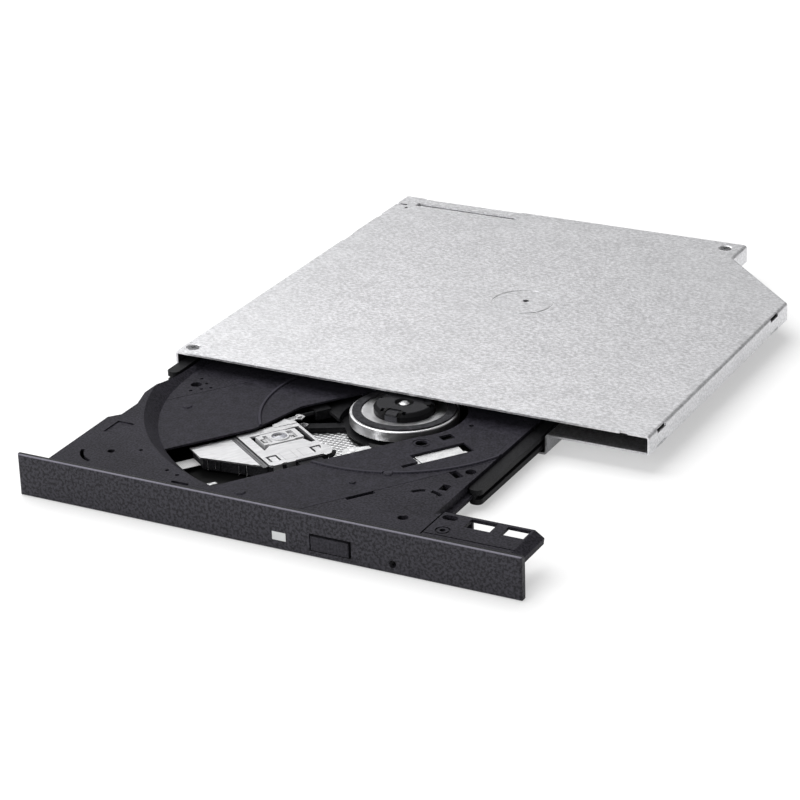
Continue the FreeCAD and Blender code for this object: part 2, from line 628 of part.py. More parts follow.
# Wing block at the front right, with a bevelled end, two windows and a screw boss
block_left = nose_right + 0.5
block_right = right - SHEET - RAIL_PLAY - BLOCK_END_GAP + 0.5
block_z = shelf_top + RAIL_GAP
block_top = block_z + BLOCK_HEIGHT
block = along_y([(block_left, block_z), (block_right - 0.2, block_z), (block_right, block_z + 1.5),
                 (block_right - 2.2, block_top), (block_left, block_top)], front, BLOCK_LENGTH)
block_under = box(block_left + TRAY_WALL, block_right - 2.8, front + TRAY_WALL, BLOCK_LENGTH - TRAY_WALL,
                  block_z - 1, block_top - 0.8)
boss_x = block_left + 3.5
boss_y = 6.2
block_cuts = [block_under.cut(pin(2.0, boss_x, boss_y, block_z - 2, block_top)),
              pin(0.7, boss_x, boss_y, block_z - 1, block_top + 1),
              slot(boss_x - 1.9, 12.2, boss_x - 0.4, 12.2, 1.1, block_top - 1, block_top + 1),
              box(block_left + 6.95, block_left + 13.2, 9.4, 13.6, block_z - 1, block_top + 1),
              box(block_left + 15.8, block_right - 2.7, 9.4, 13.6, block_z - 1, block_top + 1),
              box(block_left, block_right, 3.5, 3.9, block_top - 0.2, block_top + 1),
              box(block_left + 6.95, block_right - 2.7, BLOCK_LENGTH - TRAY_WALL - 0.1, BLOCK_LENGTH + 1,
                  block_z - 1, block_top - 0.8),
              pin(1.75, boss_x, boss_y, block_top - 0.3, block_top + 1).cut(
                  pin(1.3, boss_x, boss_y, block_top - 1, block_top + 2))]
block = block.cut(block_cuts)
bridge = box(nose_right - 1, block_left + 1, front, 3.0, block_z, rim_top)

# Ribs, bosses, pins and clips under the tray
adds = [block, bridge]
adds.append(tongue(tray_left + 0.1, rail_left + RAIL_WIDTH - RAIL_GROOVE + RAIL_PLAY, LEFT_RAIL_Z, 46.0,
                   TRAY_BACK - 5.0))
adds.append(tongue(tray_right - 0.1, rail_right + RAIL_GROOVE - RAIL_PLAY, RIGHT_RAIL_Z, NOSE_LENGTH + 1.0,
                   TRAY_BACK))
dampers = [(13.0, 24.0), (-3.0, -30.4), (-52.0, 26.0), (-40.0, -30.4)]
damper_seat = tray_bottom + 1.2
for u, n in dampers:
    web_end = math.copysign(BAND_OPEN + 0.2, n)
    adds.append(in_tray(pin(2.0, u, n, tray_bottom, damper_seat)))
    adds.append(in_tray(box(u - 1, u + 1, min(n, web_end), max(n, web_end), tray_bottom, damper_seat)))
rib_mid = BAND_OPEN + RIB / 2
cover_bosses = [(-45.0, rib_mid), (10.0, rib_mid), (-30.0, -rib_mid), (-9.0, -rib_mid)]
for u, n in cover_bosses:
    adds.append(in_tray(pin(1.5, u, n, tray_bottom, floor_under + 0.1)))
adds.append(pin(LATCH_PIN, LATCH_X, LATCH_Y, tray_bottom, floor_under + 0.1))
front_posts = [(9.5, 7.0), (28.5, 3.2)]
front_board_z = tray_bottom + 0.4
front_board_top = front_board_z + 0.6
for x, y in front_posts:
    over_seat = math.hypot(x - SPINDLE_X, y - SPINDLE_Y) < SEAT_RIM_RADIUS
    adds.append(pin(1.2, x, y, front_board_top, floor_under + 0.1 if over_seat else rim_top - 0.1))
rod_z = LATCH_POST_TOP + 0.4
for y in (88.0, 112.0):
    for x in (post_x - 1.75, post_x + 1.05):
        adds.append(box(x, x + 0.7, y, y + 3.0, rod_z, floor_under + 0.1))
ridge_profile = [(RIDGE_RADIUS - RIDGE_WIDTH / 2, floor_top - 0.1), (RIDGE_RADIUS + RIDGE_WIDTH / 2, floor_top - 0.1),
                 (RIDGE_RADIUS + RIDGE_WIDTH / 2, floor_top),
                 (RIDGE_RADIUS + RIDGE_WIDTH / 4, floor_top + RIDGE_HEIGHT),
                 (RIDGE_RADIUS - RIDGE_WIDTH / 4, floor_top + RIDGE_HEIGHT), (RIDGE_RADIUS - RIDGE_WIDTH / 2, floor_top)]
ridge = turned(ridge_profile)
tray_ridge = in_tray(ridge.common(box(BAND_END, 60, -60, 60, 0, 20))).common(prism(tray_plan, 0, 20))
adds.append(tray_ridge)
for x, y in ((-13.0, LOW_END + 8.0), (12.0, LOW_END + 8.0)):
    adds.append(box(x, x + 0.8, y, TRAY_BACK - TRAY_WALL, floor_under - 0.25, floor_under + 0.1))
body = body.fuse(adds)

# Holes, notches and slots of the tray as the photograph shows them
post_channel = box(post_x - LATCH_POST_RADIUS - 0.4, tray_right - TRAY_WALL, post_y - LATCH_POST_RADIUS - 0.7,
                   TRAY_BACK + 1, 0, rod_z - 0.1)
groove_cut = in_tray(box(-33.3, -26.2, -BAND - 1.2, -BAND + 0.5, floor_under - 1, floor_top + 1))
notch_cut = in_tray(box(-7.0, -5.0, -BAND - 3.6, -BAND, floor_under - 1, floor_top + 1))
corner_x = tray_left + 11.3
corner_y = 11.7
final_cuts = [post_channel, groove_cut, notch_cut,
              arc_slot(LATCH_X, LATCH_Y, 4.3, 1.2, 106, 148, floor_under - 1, floor_top + 1),
              arc_slot(LATCH_X, LATCH_Y, 4.3, 1.2, 42, 86, floor_under - 1, floor_top + 1),
              box(28.5, 30.5, 29.2, 32.1, floor_under - 1, floor_top + 1),
              pin(1.3, 31.2, 40.4, floor_under - 1, floor_top + 1),
              pin(1.25, 30.5, 8.4, floor_under - 1, rim_top + 1),
              prism([(29.3, 54.5), (32.6, 55.6), (32.3, 57.0), (29.3, 56.0)], floor_under - 1, floor_top + 1),
              pin(1.4, tray_left + 11.5, 45.9, floor_under - 1, floor_top + 1),
              pin(1.4, tray_left + 5.6, 58.4, floor_under - 1, floor_top + 1),
              pin(0.9, corner_x, corner_y, rim_top - 3, rim_top + 1),
              pin(0.5, tray_left + 17.4, 15.0, rim_top - 1, rim_top + 1),
              pin(0.5, tray_left + 28.8, 8.1, rim_top - 1, rim_top + 1),
              pin(0.5, tray_left + 32.3, 6.8, rim_top - 1, rim_top + 1),
              slot(tray_left + 33.3, 3.4, tray_left + 36.9, 3.4, 0.5, rim_top - 1.2, rim_top + 1),
              arc_slot(corner_x, corner_y, 6.8, 0.9, 195, 255, rim_top - 1.2, rim_top + 1),
              box(tray_left + 3.4, tray_left + 8.0, 20.4, 27.0, rim_top - 0.3, rim_top + 1)]
for dx, y in ((6.3, 54.7), (8.3, 56.5), (10.0, 58.1), (7.7, 59.9), (5.0, 62.1)):
    final_cuts.append(pin(0.45, tray_left + dx, y, floor_top - 0.5, floor_top + 1))
button_left = BUTTON_X - 1.1
button_right = BUTTON_X + BUTTON_WIDTH + 1.1
final_cuts.append(box(button_left, button_right, front - 1, TRAY_WALL + 0.4, tray_bottom + 0.1, floor_under - 0.05))
final_cuts.append(box(WINDOW_X + 0.4, WINDOW_X + WINDOW_WIDTH - 0.4, front - 1, TRAY_WALL + 0.4, WINDOW_Z,
                      WINDOW_Z + WINDOW_HEIGHT))
final_cuts.append(pin_y(EJECT_HOLE_RADIUS, EJECT_HOLE_X, EJECT_HOLE_Z, front - 1, LATCH_Y))
final_cuts.append(box(tray_right - TRAY_WALL - 0.1, tray_right + 0.01, LATCH_Y - 5.0, LATCH_Y + 1.0,
                      tray_bottom + 0.7, tray_bottom + 2.4))
for u, n in dampers:
    final_cuts.append(in_tray(pin(COVER_SCREW_SHANK, u, n, tray_bottom - 1, damper_seat + 0.5)))
for u, n in cover_bosses:
    final_cuts.append(in_tray(pin(0.6, u, n, tray_bottom - 1, tray_bottom + 1.8)))
clip_spans = [(-52.0, 5.0), (-22.0, 5.0), (26.0, 4.0)]
for x, width in clip_spans:
    final_cuts.append(box(x - 0.1, x + width + 0.1, front - 1, TRAY_WALL + 1, rim_top - 2.6, rim_top - 1.2))
tray = body.cut(final_cuts).removeSplitter()

# Sheet cover under the traverse, with a foot for its screws along the ribs
reach = BAND_OPEN + RIB + 1.0
cover_band = band(-95, BAND_END - 3.0 + RIB, reach, 0, 20)
front_strip = box(tray_left + 0.6, post_x - 2.5, front + 0.3, 40, 0, 20)
nose_strip = box(post_x - 3.0, tray_right - 0.2, front + 0.3, post_y - 10.0, 0, 20)
cover_plan = prism(inset(tray_plan, 0.3), 0, 20).common(box(left, post_x - 2.5, front, LOW_END, 0, 20))
front_triangle = in_tray(box(-95, BAND_END - 3.0 + RIB, -60, 0, 0, 20)).common(front_strip)
tray_cover = fused([cover_band, front_triangle]).common(cover_plan).fuse(nose_strip.common(
    prism(inset(tray_plan, 0.3), 0, 20)))
cover_slab = box(left, right, -5, CASE_DEPTH, SHEET + COVER_LIFT, tray_bottom)
tray_cover = tray_cover.common(cover_slab)
tray_cover = tray_cover.cut([in_tray(pin(0.66, u, n, 0, 20)) for u, n in cover_bosses]).removeSplitter()
tray_cover_screws = group([in_tray(fused([pin(1.2, u, n, SHEET + COVER_LIFT - 0.15, SHEET + COVER_LIFT),
                                          pin(0.6, u, n, SHEET + COVER_LIFT - 0.01, tray_bottom + 1.6)]))
                           for u, n in cover_bosses])

# Cover plate over the traverse, flush with the floor of the tray
plate_region = box(-60.9, BAND_END - PLATE_PLAY, -BAND + PLATE_PLAY, BAND - PLATE_PLAY, plate_z, floor_top)
plate_region = plate_region.common(pin(SEAT_FLOOR_RADIUS + 1.9, 0, 0, plate_z - 1, floor_top + 1))
plate_ridge = ridge.common(box(-40, BAND_END - PLATE_PLAY, -BAND + PLATE_PLAY, BAND - PLATE_PLAY, 0, 20))
plate = plate_region.fuse(plate_ridge)
slot_end = -SEAT_FLOOR_RADIUS - 4
plate_studs = [(-19.3, -29.4, 1.3), (-52.6, -21.3, 1.4), (-28.3, -29.4, 0.9), (-44.0, 29.5, 1.3), (8.0, 29.5, 1.3)]
plate_cuts = [prism([(slot_end, -SLOT_RIGHT), (-4.0, -SLOT_RIGHT), (-4.0, SLOT_FLARE), (-20.0, SLOT_FLARE + 0.2, 4.0),
                     (-35.0, SLOT_LEFT, 6.0), (slot_end, SLOT_LEFT)], plate_z - 1, rim_top),
              pin(SLOT_FLARE, 0, 0, plate_z - 1, rim_top),
              prism([(-10.4, -28.2), (3.7, -28.2), (3.7, -23.0), (-10.4, -23.0)], plate_z - 1, floor_top + 1),
              box(-14.8, -10.3, -28.2, -27.0, plate_z - 1, floor_top + 1),
              pin(1.5, -4.9, -18.3, plate_z - 1, floor_top + 1),
              box(0.2, 3.4, -19.6, -17.1, plate_z - 1, floor_top + 1),
              pin(0.6, 9.8, -15.6, plate_z - 1, floor_top + 1),
              turned([(1.9, floor_top - 0.12), (2.3, floor_top - 0.12), (2.3, floor_top + 1),
                      (1.9, floor_top + 1)], -4.9, -18.3)]
plate_cuts.extend([pin(r, u, n, floor_top, floor_top + 1) for u, n, r in plate_studs])
plate = in_tray(plate.cut(plate_cuts)).common(box(left, tray_right, 0, CASE_DEPTH, 0, 20))
traverse_cover = plate.removeSplitter()
cover_studs = group([in_tray(turned([(0, floor_top), (r, floor_top), (r * 0.75, floor_top + 0.3),
                                     (0, floor_top + 0.35)], u, n)) for u, n, r in plate_studs])

# Frame of the traverse: a plate open at the pickup end, with a dish for the motor and blocks for the shafts
frame_plate = box(-90, BAND_END - 3.4, -BASE_HALF, BASE_HALF, base_z, base_top)
main_near = -13.6
shaft_block_z = shaft_z - 1.2
shaft_block_top = shaft_z + 1.2
pickup_room = prism([(main_near, -BASE_OPEN_RIGHT), (-53.5, -BASE_OPEN_RIGHT), (-61.0, -20.2), (-61.0, -15.8),
                     (-95, -15.8), (-95, BASE_OPEN_LEFT), (main_near, BASE_OPEN_LEFT)], 0, 20)
motor_room = box(main_near - 0.1, LEAD_START + SLED_MOTOR_LENGTH + 1.2, -BASE_OPEN_RIGHT, LEAD_N + 2.6, 0, 20)
dish_radius = MOTOR_PLATE_RADIUS + 1.4
dish_wall = 0.8
frame_plate = frame_plate.cut([pickup_room, motor_room, pin(dish_radius, 0, 0, 0, 20)])
dish = turned([(9.5, tray_bottom + 0.2), (dish_radius + dish_wall, tray_bottom + 0.2),
               (dish_radius + dish_wall, base_top), (dish_radius, base_top), (dish_radius, motor_plate_z),
               (9.5, motor_plate_z)])
dish = dish.common(box(main_near + 1.7, 40, -40, 40, 0, 20))
motor_ears = [(-19.5, -10.5), (-21.5, 11.4), (13.0, 0.0)]
frame_adds = [dish]
for u, n in motor_ears[:2]:
    frame_adds.append(slot(u * 0.5, n * 0.5, u, n, 1.5, tray_bottom + 0.2, motor_plate_z).cut(
        pin(9.5, 0, 0, 0, 20)))
frame_adds.append(box(-17.0, main_near + 0.6, MAIN_SHAFT_N - 2.0, MAIN_SHAFT_N + 2.0, shaft_block_z, shaft_block_top))
frame_adds.append(box(-63.0, -61.0, MAIN_SHAFT_N - 2.4, MAIN_SHAFT_N + 2.0, shaft_block_z, shaft_block_top))
frame_adds.append(box(-17.0, main_near + 0.6, SUB_SHAFT_N - 1.8, BASE_OPEN_LEFT + 0.5, shaft_block_z,
                      shaft_block_top))
frame_adds.append(box(-65.0, -62.5, SUB_SHAFT_N - 1.4, BASE_OPEN_LEFT + 0.5, shaft_block_z, shaft_block_top))
frame_adds.append(box(-55.6, LEAD_END - 0.1, LEAD_N - 2.0, LEAD_N + 1.4, shaft_block_z, shaft_block_top))
frame = frame_plate.fuse(frame_adds)
frame_area = prism(inset(tray_plan, TRAY_WALL + 0.5), 0, 20).common(
    box(left, post_x - 2.4, front + TRAY_WALL + 0.7, LOW_END - 0.5, 0, 20))
frame_cuts = []
for radius, n, u0, u1 in ((MAIN_SHAFT_RADIUS, MAIN_SHAFT_N, -62.6, -14.2),
                          (SUB_SHAFT_RADIUS, SUB_SHAFT_N, -64.4, -14.2),
                          (0.6 + SHAFT_PLAY, LEAD_N, LEAD_END - 2.4, LEAD_END + 1)):
    frame_cuts.append(pin_x(radius, n, shaft_z, u0, u1))
for u, n in dampers:
    frame_cuts.append(pin(1.7, u, n, 0, 20))
for u, n in motor_ears:
    frame_cuts.append(pin(0.6, u, n, 0, 20))
traverse_base = in_tray(frame.cut(frame_cuts)).common(frame_area).removeSplitter()

damper_profile = [(COVER_SCREW_SHANK, damper_seat), (2.35, damper_seat), (2.35, base_z), (1.7, base_z),
                  (1.7, base_top), (2.35, base_top), (2.35, base_top + 0.6), (COVER_SCREW_SHANK, base_top + 0.6)]
traverse_dampers = group([in_tray(turned(damper_profile, u, n)) for u, n in dampers])
damper_screws = group([in_tray(screw(u, n, base_top + 0.6, 1.6, COVER_SCREW_SHANK,
                                     base_top + 0.6 - tray_bottom - 0.2)) for u, n in dampers])
main_shaft = in_tray(pin_x(MAIN_SHAFT_RADIUS, MAIN_SHAFT_N, shaft_z, -62.6, -14.2))
sub_shaft = in_tray(pin_x(SUB_SHAFT_RADIUS, SUB_SHAFT_N, shaft_z, -64.4, -14.2))

# Sled motor and its lead screw
motor_flange = box(LEAD_START, LEAD_START + 0.5, -BASE_OPEN_RIGHT, LEAD_N + 2.5, tray_bottom + 0.2, plate_z - 0.2)
motor_can = pin_x(SLED_MOTOR_RADIUS, LEAD_N, shaft_z, LEAD_START + 0.4, LEAD_START + SLED_MOTOR_LENGTH)
motor_can = motor_can.cut(pin_x(SLED_MOTOR_RADIUS + 1, LEAD_N, shaft_z, LEAD_START + 5.6, LEAD_START + 6.0).cut(
    pin_x(SLED_MOTOR_RADIUS - 0.12, LEAD_N, shaft_z, LEAD_START + 5, LEAD_START + 7)))
motor_can = motor_can.common(box(LEAD_START, LEAD_START + SLED_MOTOR_LENGTH + 1, LEAD_N - 5, LEAD_N + 5,
                                 shaft_z - SLED_MOTOR_HALF, shaft_z + SLED_MOTOR_HALF))
sled_motor = in_tray(fused([motor_flange, motor_can]).cut(
    pin_x(0.7, LEAD_N, shaft_z, LEAD_START - 1, LEAD_START + 1.2)))
lead_screw = in_tray(fused([pin_x(LEAD_RADIUS, LEAD_N, shaft_z, LEAD_END, LEAD_START - 0.3),
                            pin_x(0.6, LEAD_N, shaft_z, LEAD_END - 2.2, LEAD_START + 0.8)]))

# Spindle motor and turntable
ears = [pin(MOTOR_PLATE_RADIUS, 0, 0, motor_plate_z, motor_plate_top)]
for u, n in motor_ears[:2]:
    ears.append(slot(u * 0.5, n * 0.5, u, n, 1.4, motor_plate_z, motor_plate_top))
motor_plate = fused(ears).cut([pin(0.66, u, n, 0, 20) for u, n in motor_ears]
                              + [pin(2.2, 0, 0, 0, 20)])
motor_plate = in_tray(motor_plate)
motor_screws = group([in_tray(screw(u, n, motor_plate_top, 1.1, 0.6, 1.0)) for u, n in motor_ears])
stator = in_tray(turned([(SPINDLE_SHAFT + SHAFT_PLAY, tray_bottom + 0.3), (2.2, tray_bottom + 0.3),
                         (2.2, motor_plate_top), (10.9, motor_plate_top), (10.9, rotor_top - 1.3),
                         (3.4, rotor_top - 1.3), (3.4, rotor_top - 0.8), (SPINDLE_SHAFT + SHAFT_PLAY, rotor_top - 0.8)]))
rotor_profile = [(SPINDLE_SHAFT, rotor_top - 0.5), (ROTOR_RADIUS - ROTOR_WALL, rotor_top - 0.5),
                 (ROTOR_RADIUS - ROTOR_WALL, rotor_z), (ROTOR_RADIUS, rotor_z), (ROTOR_RADIUS, rotor_top, 0.35),
                 (PAD_OUTER, rotor_top), (PAD_OUTER, rotor_top - 0.05), (PAD_INNER, rotor_top - 0.05),
                 (PAD_INNER, rotor_top), (PAD_INNER - 0.5, rotor_top), (HUB_RADIUS + 0.6, rotor_top - 0.2),
                 (SPINDLE_SHAFT, rotor_top - 0.2)]
rotor_cup = in_tray(turned(rotor_profile))
rotor_magnet = in_tray(turned([(11.4, rotor_z + 0.1), (ROTOR_RADIUS - ROTOR_WALL, rotor_z + 0.1),
                               (ROTOR_RADIUS - ROTOR_WALL, rotor_top - 0.5), (11.4, rotor_top - 0.5)]))
turntable_pad = in_tray(turned([(PAD_INNER, rotor_top - 0.05), (PAD_OUTER, rotor_top - 0.05),
                                (PAD_OUTER, pad_top, 0.12), (PAD_INNER, pad_top, 0.12)]))
hub_z = rotor_top - 0.2
hub_top = rotor_top + HUB_HEIGHT
claw_z = hub_top - CLAW_DEPTH
hub = turned([(SPINDLE_SHAFT, hub_z), (HUB_RADIUS, hub_z), (HUB_RADIUS, claw_z), (HUB_RADIUS - 0.9, hub_top, 0.3),
              (2.4, hub_top), (1.9, hub_top - 0.6), (SPINDLE_SHAFT, hub_top - 0.6)])
hub_cuts = []
claws = []
for k in range(3):
    angle = 120 * k + 96
    hub_cuts.append(turn(box(4.6, HUB_RADIUS + 1, -1.7, 1.7, claw_z, hub_top + 1), angle))
    hub_cuts.append(turn(box(5.2, 6.3, 2.4, 3.3, hub_top - 0.8, hub_top + 1), angle))
    hub_cuts.append(turn(box(5.2, 6.3, -3.3, -2.4, hub_top - 0.8, hub_top + 1), angle))
    claw = along_y([(4.6, claw_z), (HUB_RADIUS - 0.05, claw_z), (HUB_RADIUS - 0.25, claw_z + 0.45, 0.2),
                    (HUB_RADIUS - 1.1, hub_top - 0.05), (4.6, hub_top - 0.3)], -1.45, 1.45)
    claws.append(turn(claw, angle).common(pin(HUB_RADIUS - 0.05, 0, 0, claw_z, hub_top)))
clamp_hub = in_tray(hub.cut(hub_cuts))
hub_claws = group([in_tray(claw) for claw in claws])
spindle_shaft = in_tray(turned([(0, tray_bottom + 0.25), (SPINDLE_SHAFT, tray_bottom + 0.25),
                                (SPINDLE_SHAFT, hub_top - 0.6), (1.3, hub_top - 0.6), (1.3, hub_top - 0.3),
                                (0.7, hub_top + 0.05), (0, hub_top + 0.1)]))

# Pickup: moulded body on the shafts, steel covers, lens holder
body_low = tray_bottom + 0.4
nose_low = tray_bottom + 1.9
sheet_z = pickup_z - PICKUP_SHEET - 0.1
slant = [(-51.4, 3.0), (-42.8, -6.4)]
low_plan = [(-40.6, -9.0), slant[1], slant[0], (-51.4, 9.0), (-31.5, 9.0), (-31.5, -9.0)]
pickup_body = prism(low_plan, body_low, sheet_z - 0.2)
shoulder = prism([(-40.0, -9.6), (PICKUP_U, -9.6, 1.0), (PICKUP_U, 9.6, 1.0), (-40.0, 9.6)], nose_low, sheet_z)
shoulder_low = prism([(-40.0, -9.0), (-31.5, -9.0), (-31.5, 9.0), (-40.0, 9.0)], body_low, sheet_z)
bearing = pin_x(1.8, MAIN_SHAFT_N, shaft_z, -33.5, -26.0)
bearing_arm = box(-33.0, -27.0, MAIN_SHAFT_N, -9.0, shaft_z - 0.1, shaft_z + 1.0)
hook_in = SUB_SHAFT_N - SUB_SHAFT_RADIUS
hook_profile = [(9.0, sheet_z - 0.5), (hook_in - 0.7, sheet_z - 0.5), (hook_in - 0.7, shaft_z - 1.5),
                (SUB_SHAFT_N + 1.2, shaft_z - 1.5), (SUB_SHAFT_N + 1.2, shaft_z - SUB_SHAFT_RADIUS - SHAFT_PLAY),
                (hook_in - 0.1, shaft_z - SUB_SHAFT_RADIUS - SHAFT_PLAY),
                (hook_in - 0.1, shaft_z + SUB_SHAFT_RADIUS + SHAFT_PLAY),
                (SUB_SHAFT_N + 1.2, shaft_z + SUB_SHAFT_RADIUS + SHAFT_PLAY), (SUB_SHAFT_N + 1.2, sheet_z),
                (9.0, sheet_z)]
hook = along_x(hook_profile, -29.5, -24.8)
lens_room = box(-37.4, -25.2, -2.4, 7.0, nose_low - 2, sheet_z + 1)
pickup_parts = [pickup_body, shoulder, shoulder_low, bearing, bearing_arm, hook]
pickup_base = fused(pickup_parts).cut([pin_x(MAIN_SHAFT_RADIUS + SHAFT_PLAY, MAIN_SHAFT_N, shaft_z, -40, -20),
                                       lens_room])
slant_angle = math.degrees(math.atan2(slant[1][1] - slant[0][1], slant[1][0] - slant[0][0]))
clips = []
for share in (0.28, 0.78):
    frame_clip = box(-0.9, 0.9, -0.25, 0.1, body_low + 0.2, sheet_z - 0.3).cut(
        box(-0.5, 0.5, -1, 1, body_low + 0.6, sheet_z - 0.8))
    frame_clip = turn(frame_clip, slant_angle)
    frame_clip.translate(V(slant[0][0] + share * (slant[1][0] - slant[0][0]),
                           slant[0][1] + share * (slant[1][1] - slant[0][1]), 0))
    clips.append(frame_clip)
pickup_base = in_tray(pickup_base.fuse(clips).removeSplitter())
cover_top = pickup_z
pickup_cover = prism([(-40.0, -10.0, 0.8), (-24.2, -10.0, 2.6), (-24.2, 10.0, 0.6), (-40.0, 10.0, 0.6)],
                     sheet_z, cover_top)
window_plan = [(-37.6, -1.6), (-35.6, 0.2), (-27.0, 0.2), (-26.0, -2.6), (-24.9, -2.6), (-24.9, 7.2), (-37.6, 7.2)]
pickup_cover = pickup_cover.cut([prism(window_plan, sheet_z - 1, cover_top + 1)])
for u in (-39.0, -27.8):
    outer = prism([(u, -8.2), (u + 2.7, -8.2), (u + 2.7, -5.0), (u, -5.0)], sheet_z - 1, cover_top + 1)
    inner = prism([(u + 0.5, -8.3), (u + 2.2, -8.3), (u + 2.2, -5.7), (u + 0.5, -5.7)], sheet_z - 1, cover_top + 1)
    pickup_cover = pickup_cover.cut(outer.cut(inner))
front_lips = [box(u, u + 2.2, -10.3, -9.9, sheet_z - 0.9, cover_top) for u in (-39.2, -35.8)]
pickup_cover = in_tray(pickup_cover.fuse(front_lips).removeSplitter())
tail_plan = [(-43.0, -6.7), (-52.0, 3.3), (-52.0, 9.4), (-40.3, 9.4), (-40.3, -9.0)]
pickup_tail = in_tray(prism(tail_plan, sheet_z - 0.2, cover_top - 0.3))
nut_plan = [(-27.8, -19.2), (-27.8, -21.6), (-23.0, -27.2), (-19.6, -27.2), (-19.6, -24.2), (-21.4, -24.0),
            (-25.0, -19.2)]
pickup_nut = prism(nut_plan[::-1], shaft_z - 0.9, shaft_z + 1.0).cut(
    [pin_x(LEAD_RADIUS + SHAFT_PLAY, LEAD_N, shaft_z, -30, -10),
     pin_x(1.8, MAIN_SHAFT_N, shaft_z, -33.5, -20.0)])
pickup_nut = in_tray(pickup_nut)
holder_top = cover_top + 0.1
holder = prism([(-36.4, 1.0), (-35.2, 1.0), (-35.2, 0.7), (-28.6, 0.7), (-28.6, 1.0), (-26.2, 1.0), (-26.2, 6.4),
                (-28.6, 6.4), (-28.6, 6.7), (-35.2, 6.7), (-35.2, 6.4), (-36.4, 6.4)], nose_low + 0.5, holder_top)
holder = holder.fuse(turned([(0, holder_top - 0.1), (LENS_RADIUS + 0.6, holder_top - 0.1),
                             (LENS_RADIUS + 0.4, holder_top + 0.3), (0, holder_top + 0.3)], LENS_U, LENS_N))
holder = holder.cut([pin(LENS_RADIUS, LENS_U, LENS_N, holder_top - 0.4, holder_top + 1),
                     box(-35.0, -33.9, 1.6, 5.8, holder_top - 0.6, holder_top + 1),
                     box(-28.9, -27.4, 1.6, 5.8, holder_top - 0.6, holder_top + 1)])
lens_holder = in_tray(holder.removeSplitter())
lens_z = holder_top - 0.4
sag = 0.6
ball = (LENS_RADIUS ** 2 + sag ** 2) / (2 * sag)
dome = Part.makeSphere(ball, V(LENS_U, LENS_N, lens_z + 0.25 + sag - ball)).common(
    pin(LENS_RADIUS, LENS_U, LENS_N, lens_z, lens_z + 2))
objective_lens = in_tray(dome)
actuator_yoke = in_tray(along_x([(-2.3, nose_low + 0.1), (0.3, nose_low + 0.1), (0.3, sheet_z - 0.15), (-0.3, sheet_z - 0.15),
                                 (-0.3, nose_low + 0.5), (-1.7, nose_low + 0.5), (-1.7, sheet_z - 0.15),
                                 (-2.3, sheet_z - 0.15)], -36.6, -27.2))
pickup_ribbon = in_tray(prism([(-51.5, 8.4), (-58.0, 8.4), (-58.0, 4.2), (-51.5, 4.2)], body_low + 0.5,
                              body_low + 0.62))

# Latch on the tray: lever with a hook round the post, spring, solenoid
lever_z = tray_bottom + 1.1
lever_top = lever_z + LEVER_THICK
tip_y = post_y + LATCH_POST_RADIUS + 0.4
lever = fused([pin(2.0, LATCH_X, LATCH_Y, lever_z, lever_top),
               prism([(LATCH_X - 0.7, LATCH_Y), (LATCH_X + 1.2, LATCH_Y), (LATCH_X + 1.2, tip_y),
                      (LATCH_X + 4.0, tip_y, 0.4), (LATCH_X + 3.4, tip_y + 1.4, 0.5), (LATCH_X - 0.7, tip_y + 1.4, 1.0)],
                     lever_z, lever_top),
               box(LATCH_X - 5.4, LATCH_X, LATCH_Y - 0.8, LATCH_Y + 0.8, lever_z, lever_top),
               prism([(LATCH_X, LATCH_Y - 1.8), (LATCH_X + 5.6, LATCH_Y - 2.8, 0.5), (LATCH_X + 5.6, LATCH_Y - 1.3, 0.5),
                      (LATCH_X, LATCH_Y + 0.5)], lever_z, lever_top)])
lock_lever = lever.cut(pin(LATCH_PIN + SHAFT_PLAY, LATCH_X, LATCH_Y, 0, 20))
spring_z = lever_top + 0.1
lever_spring = turned([(LATCH_PIN + 0.15, spring_z), (LATCH_PIN + 0.55, spring_z),
                       (LATCH_PIN + 0.55, spring_z + 0.7), (LATCH_PIN + 0.15, spring_z + 0.7)], LATCH_X, LATCH_Y)
coil_out = LATCH_PIN + 0.55
lever_spring = fused([lever_spring, box(LATCH_X - coil_out, LATCH_X - coil_out + 0.3, LATCH_Y, LATCH_Y + 5.0,
                                        spring_z, spring_z + 0.3),
                      box(LATCH_X + coil_out - 0.3, LATCH_X + coil_out, LATCH_Y - 5.0, LATCH_Y,
                          spring_z + 0.4, spring_z + 0.7)])
coil_x = LATCH_X - 4.6
coil_y0 = 10.6
coil_y1 = 18.6
coil_z = tray_bottom + 1.8
coil_half = 2.3
yoke_outer = box(coil_x - coil_half, coil_x + coil_half, coil_y0 - 0.8, coil_y1 + 0.8, coil_z - 1.7, coil_z + 1.7)
yoke_inner = box(coil_x - coil_half + 0.6, coil_x + coil_half - 0.6, coil_y0, coil_y1, coil_z - 2, coil_z + 2)
solenoid_yoke = yoke_outer.cut([yoke_inner, pin_y(0.85, coil_x, coil_z, coil_y0 - 2, coil_y1 + 2)])
solenoid_coil = pin_y(1.6, coil_x, coil_z, coil_y0, coil_y1).cut(pin_y(0.85, coil_x, coil_z, 0, 40))
plunger_top = lever_top + 0.3
solenoid_plunger = fused([pin_y(0.75, coil_x, coil_z, coil_y0 + 1.8, LATCH_Y - 1.8),
                          box(coil_x - 0.75, coil_x + 0.75, LATCH_Y - 2.2, LATCH_Y - 1.4, coil_z, plunger_top + 0.5),
                          box(coil_x - 0.75, coil_x + 0.75, LATCH_Y - 2.2, LATCH_Y + 1.9, plunger_top, plunger_top + 0.5),
                          box(coil_x - 0.75, coil_x + 0.75, LATCH_Y + 1.2, LATCH_Y + 1.9, lever_z, plunger_top + 0.1)])
push_rod = prism([(post_x - 1.0, 84.0), (post_x + 1.0, 84.0), (post_x + 1.0, TRAY_BACK + 0.3, 0.6),
                  (post_x - 1.0, TRAY_BACK + 0.3, 0.6)], rod_z, floor_under - 0.1)

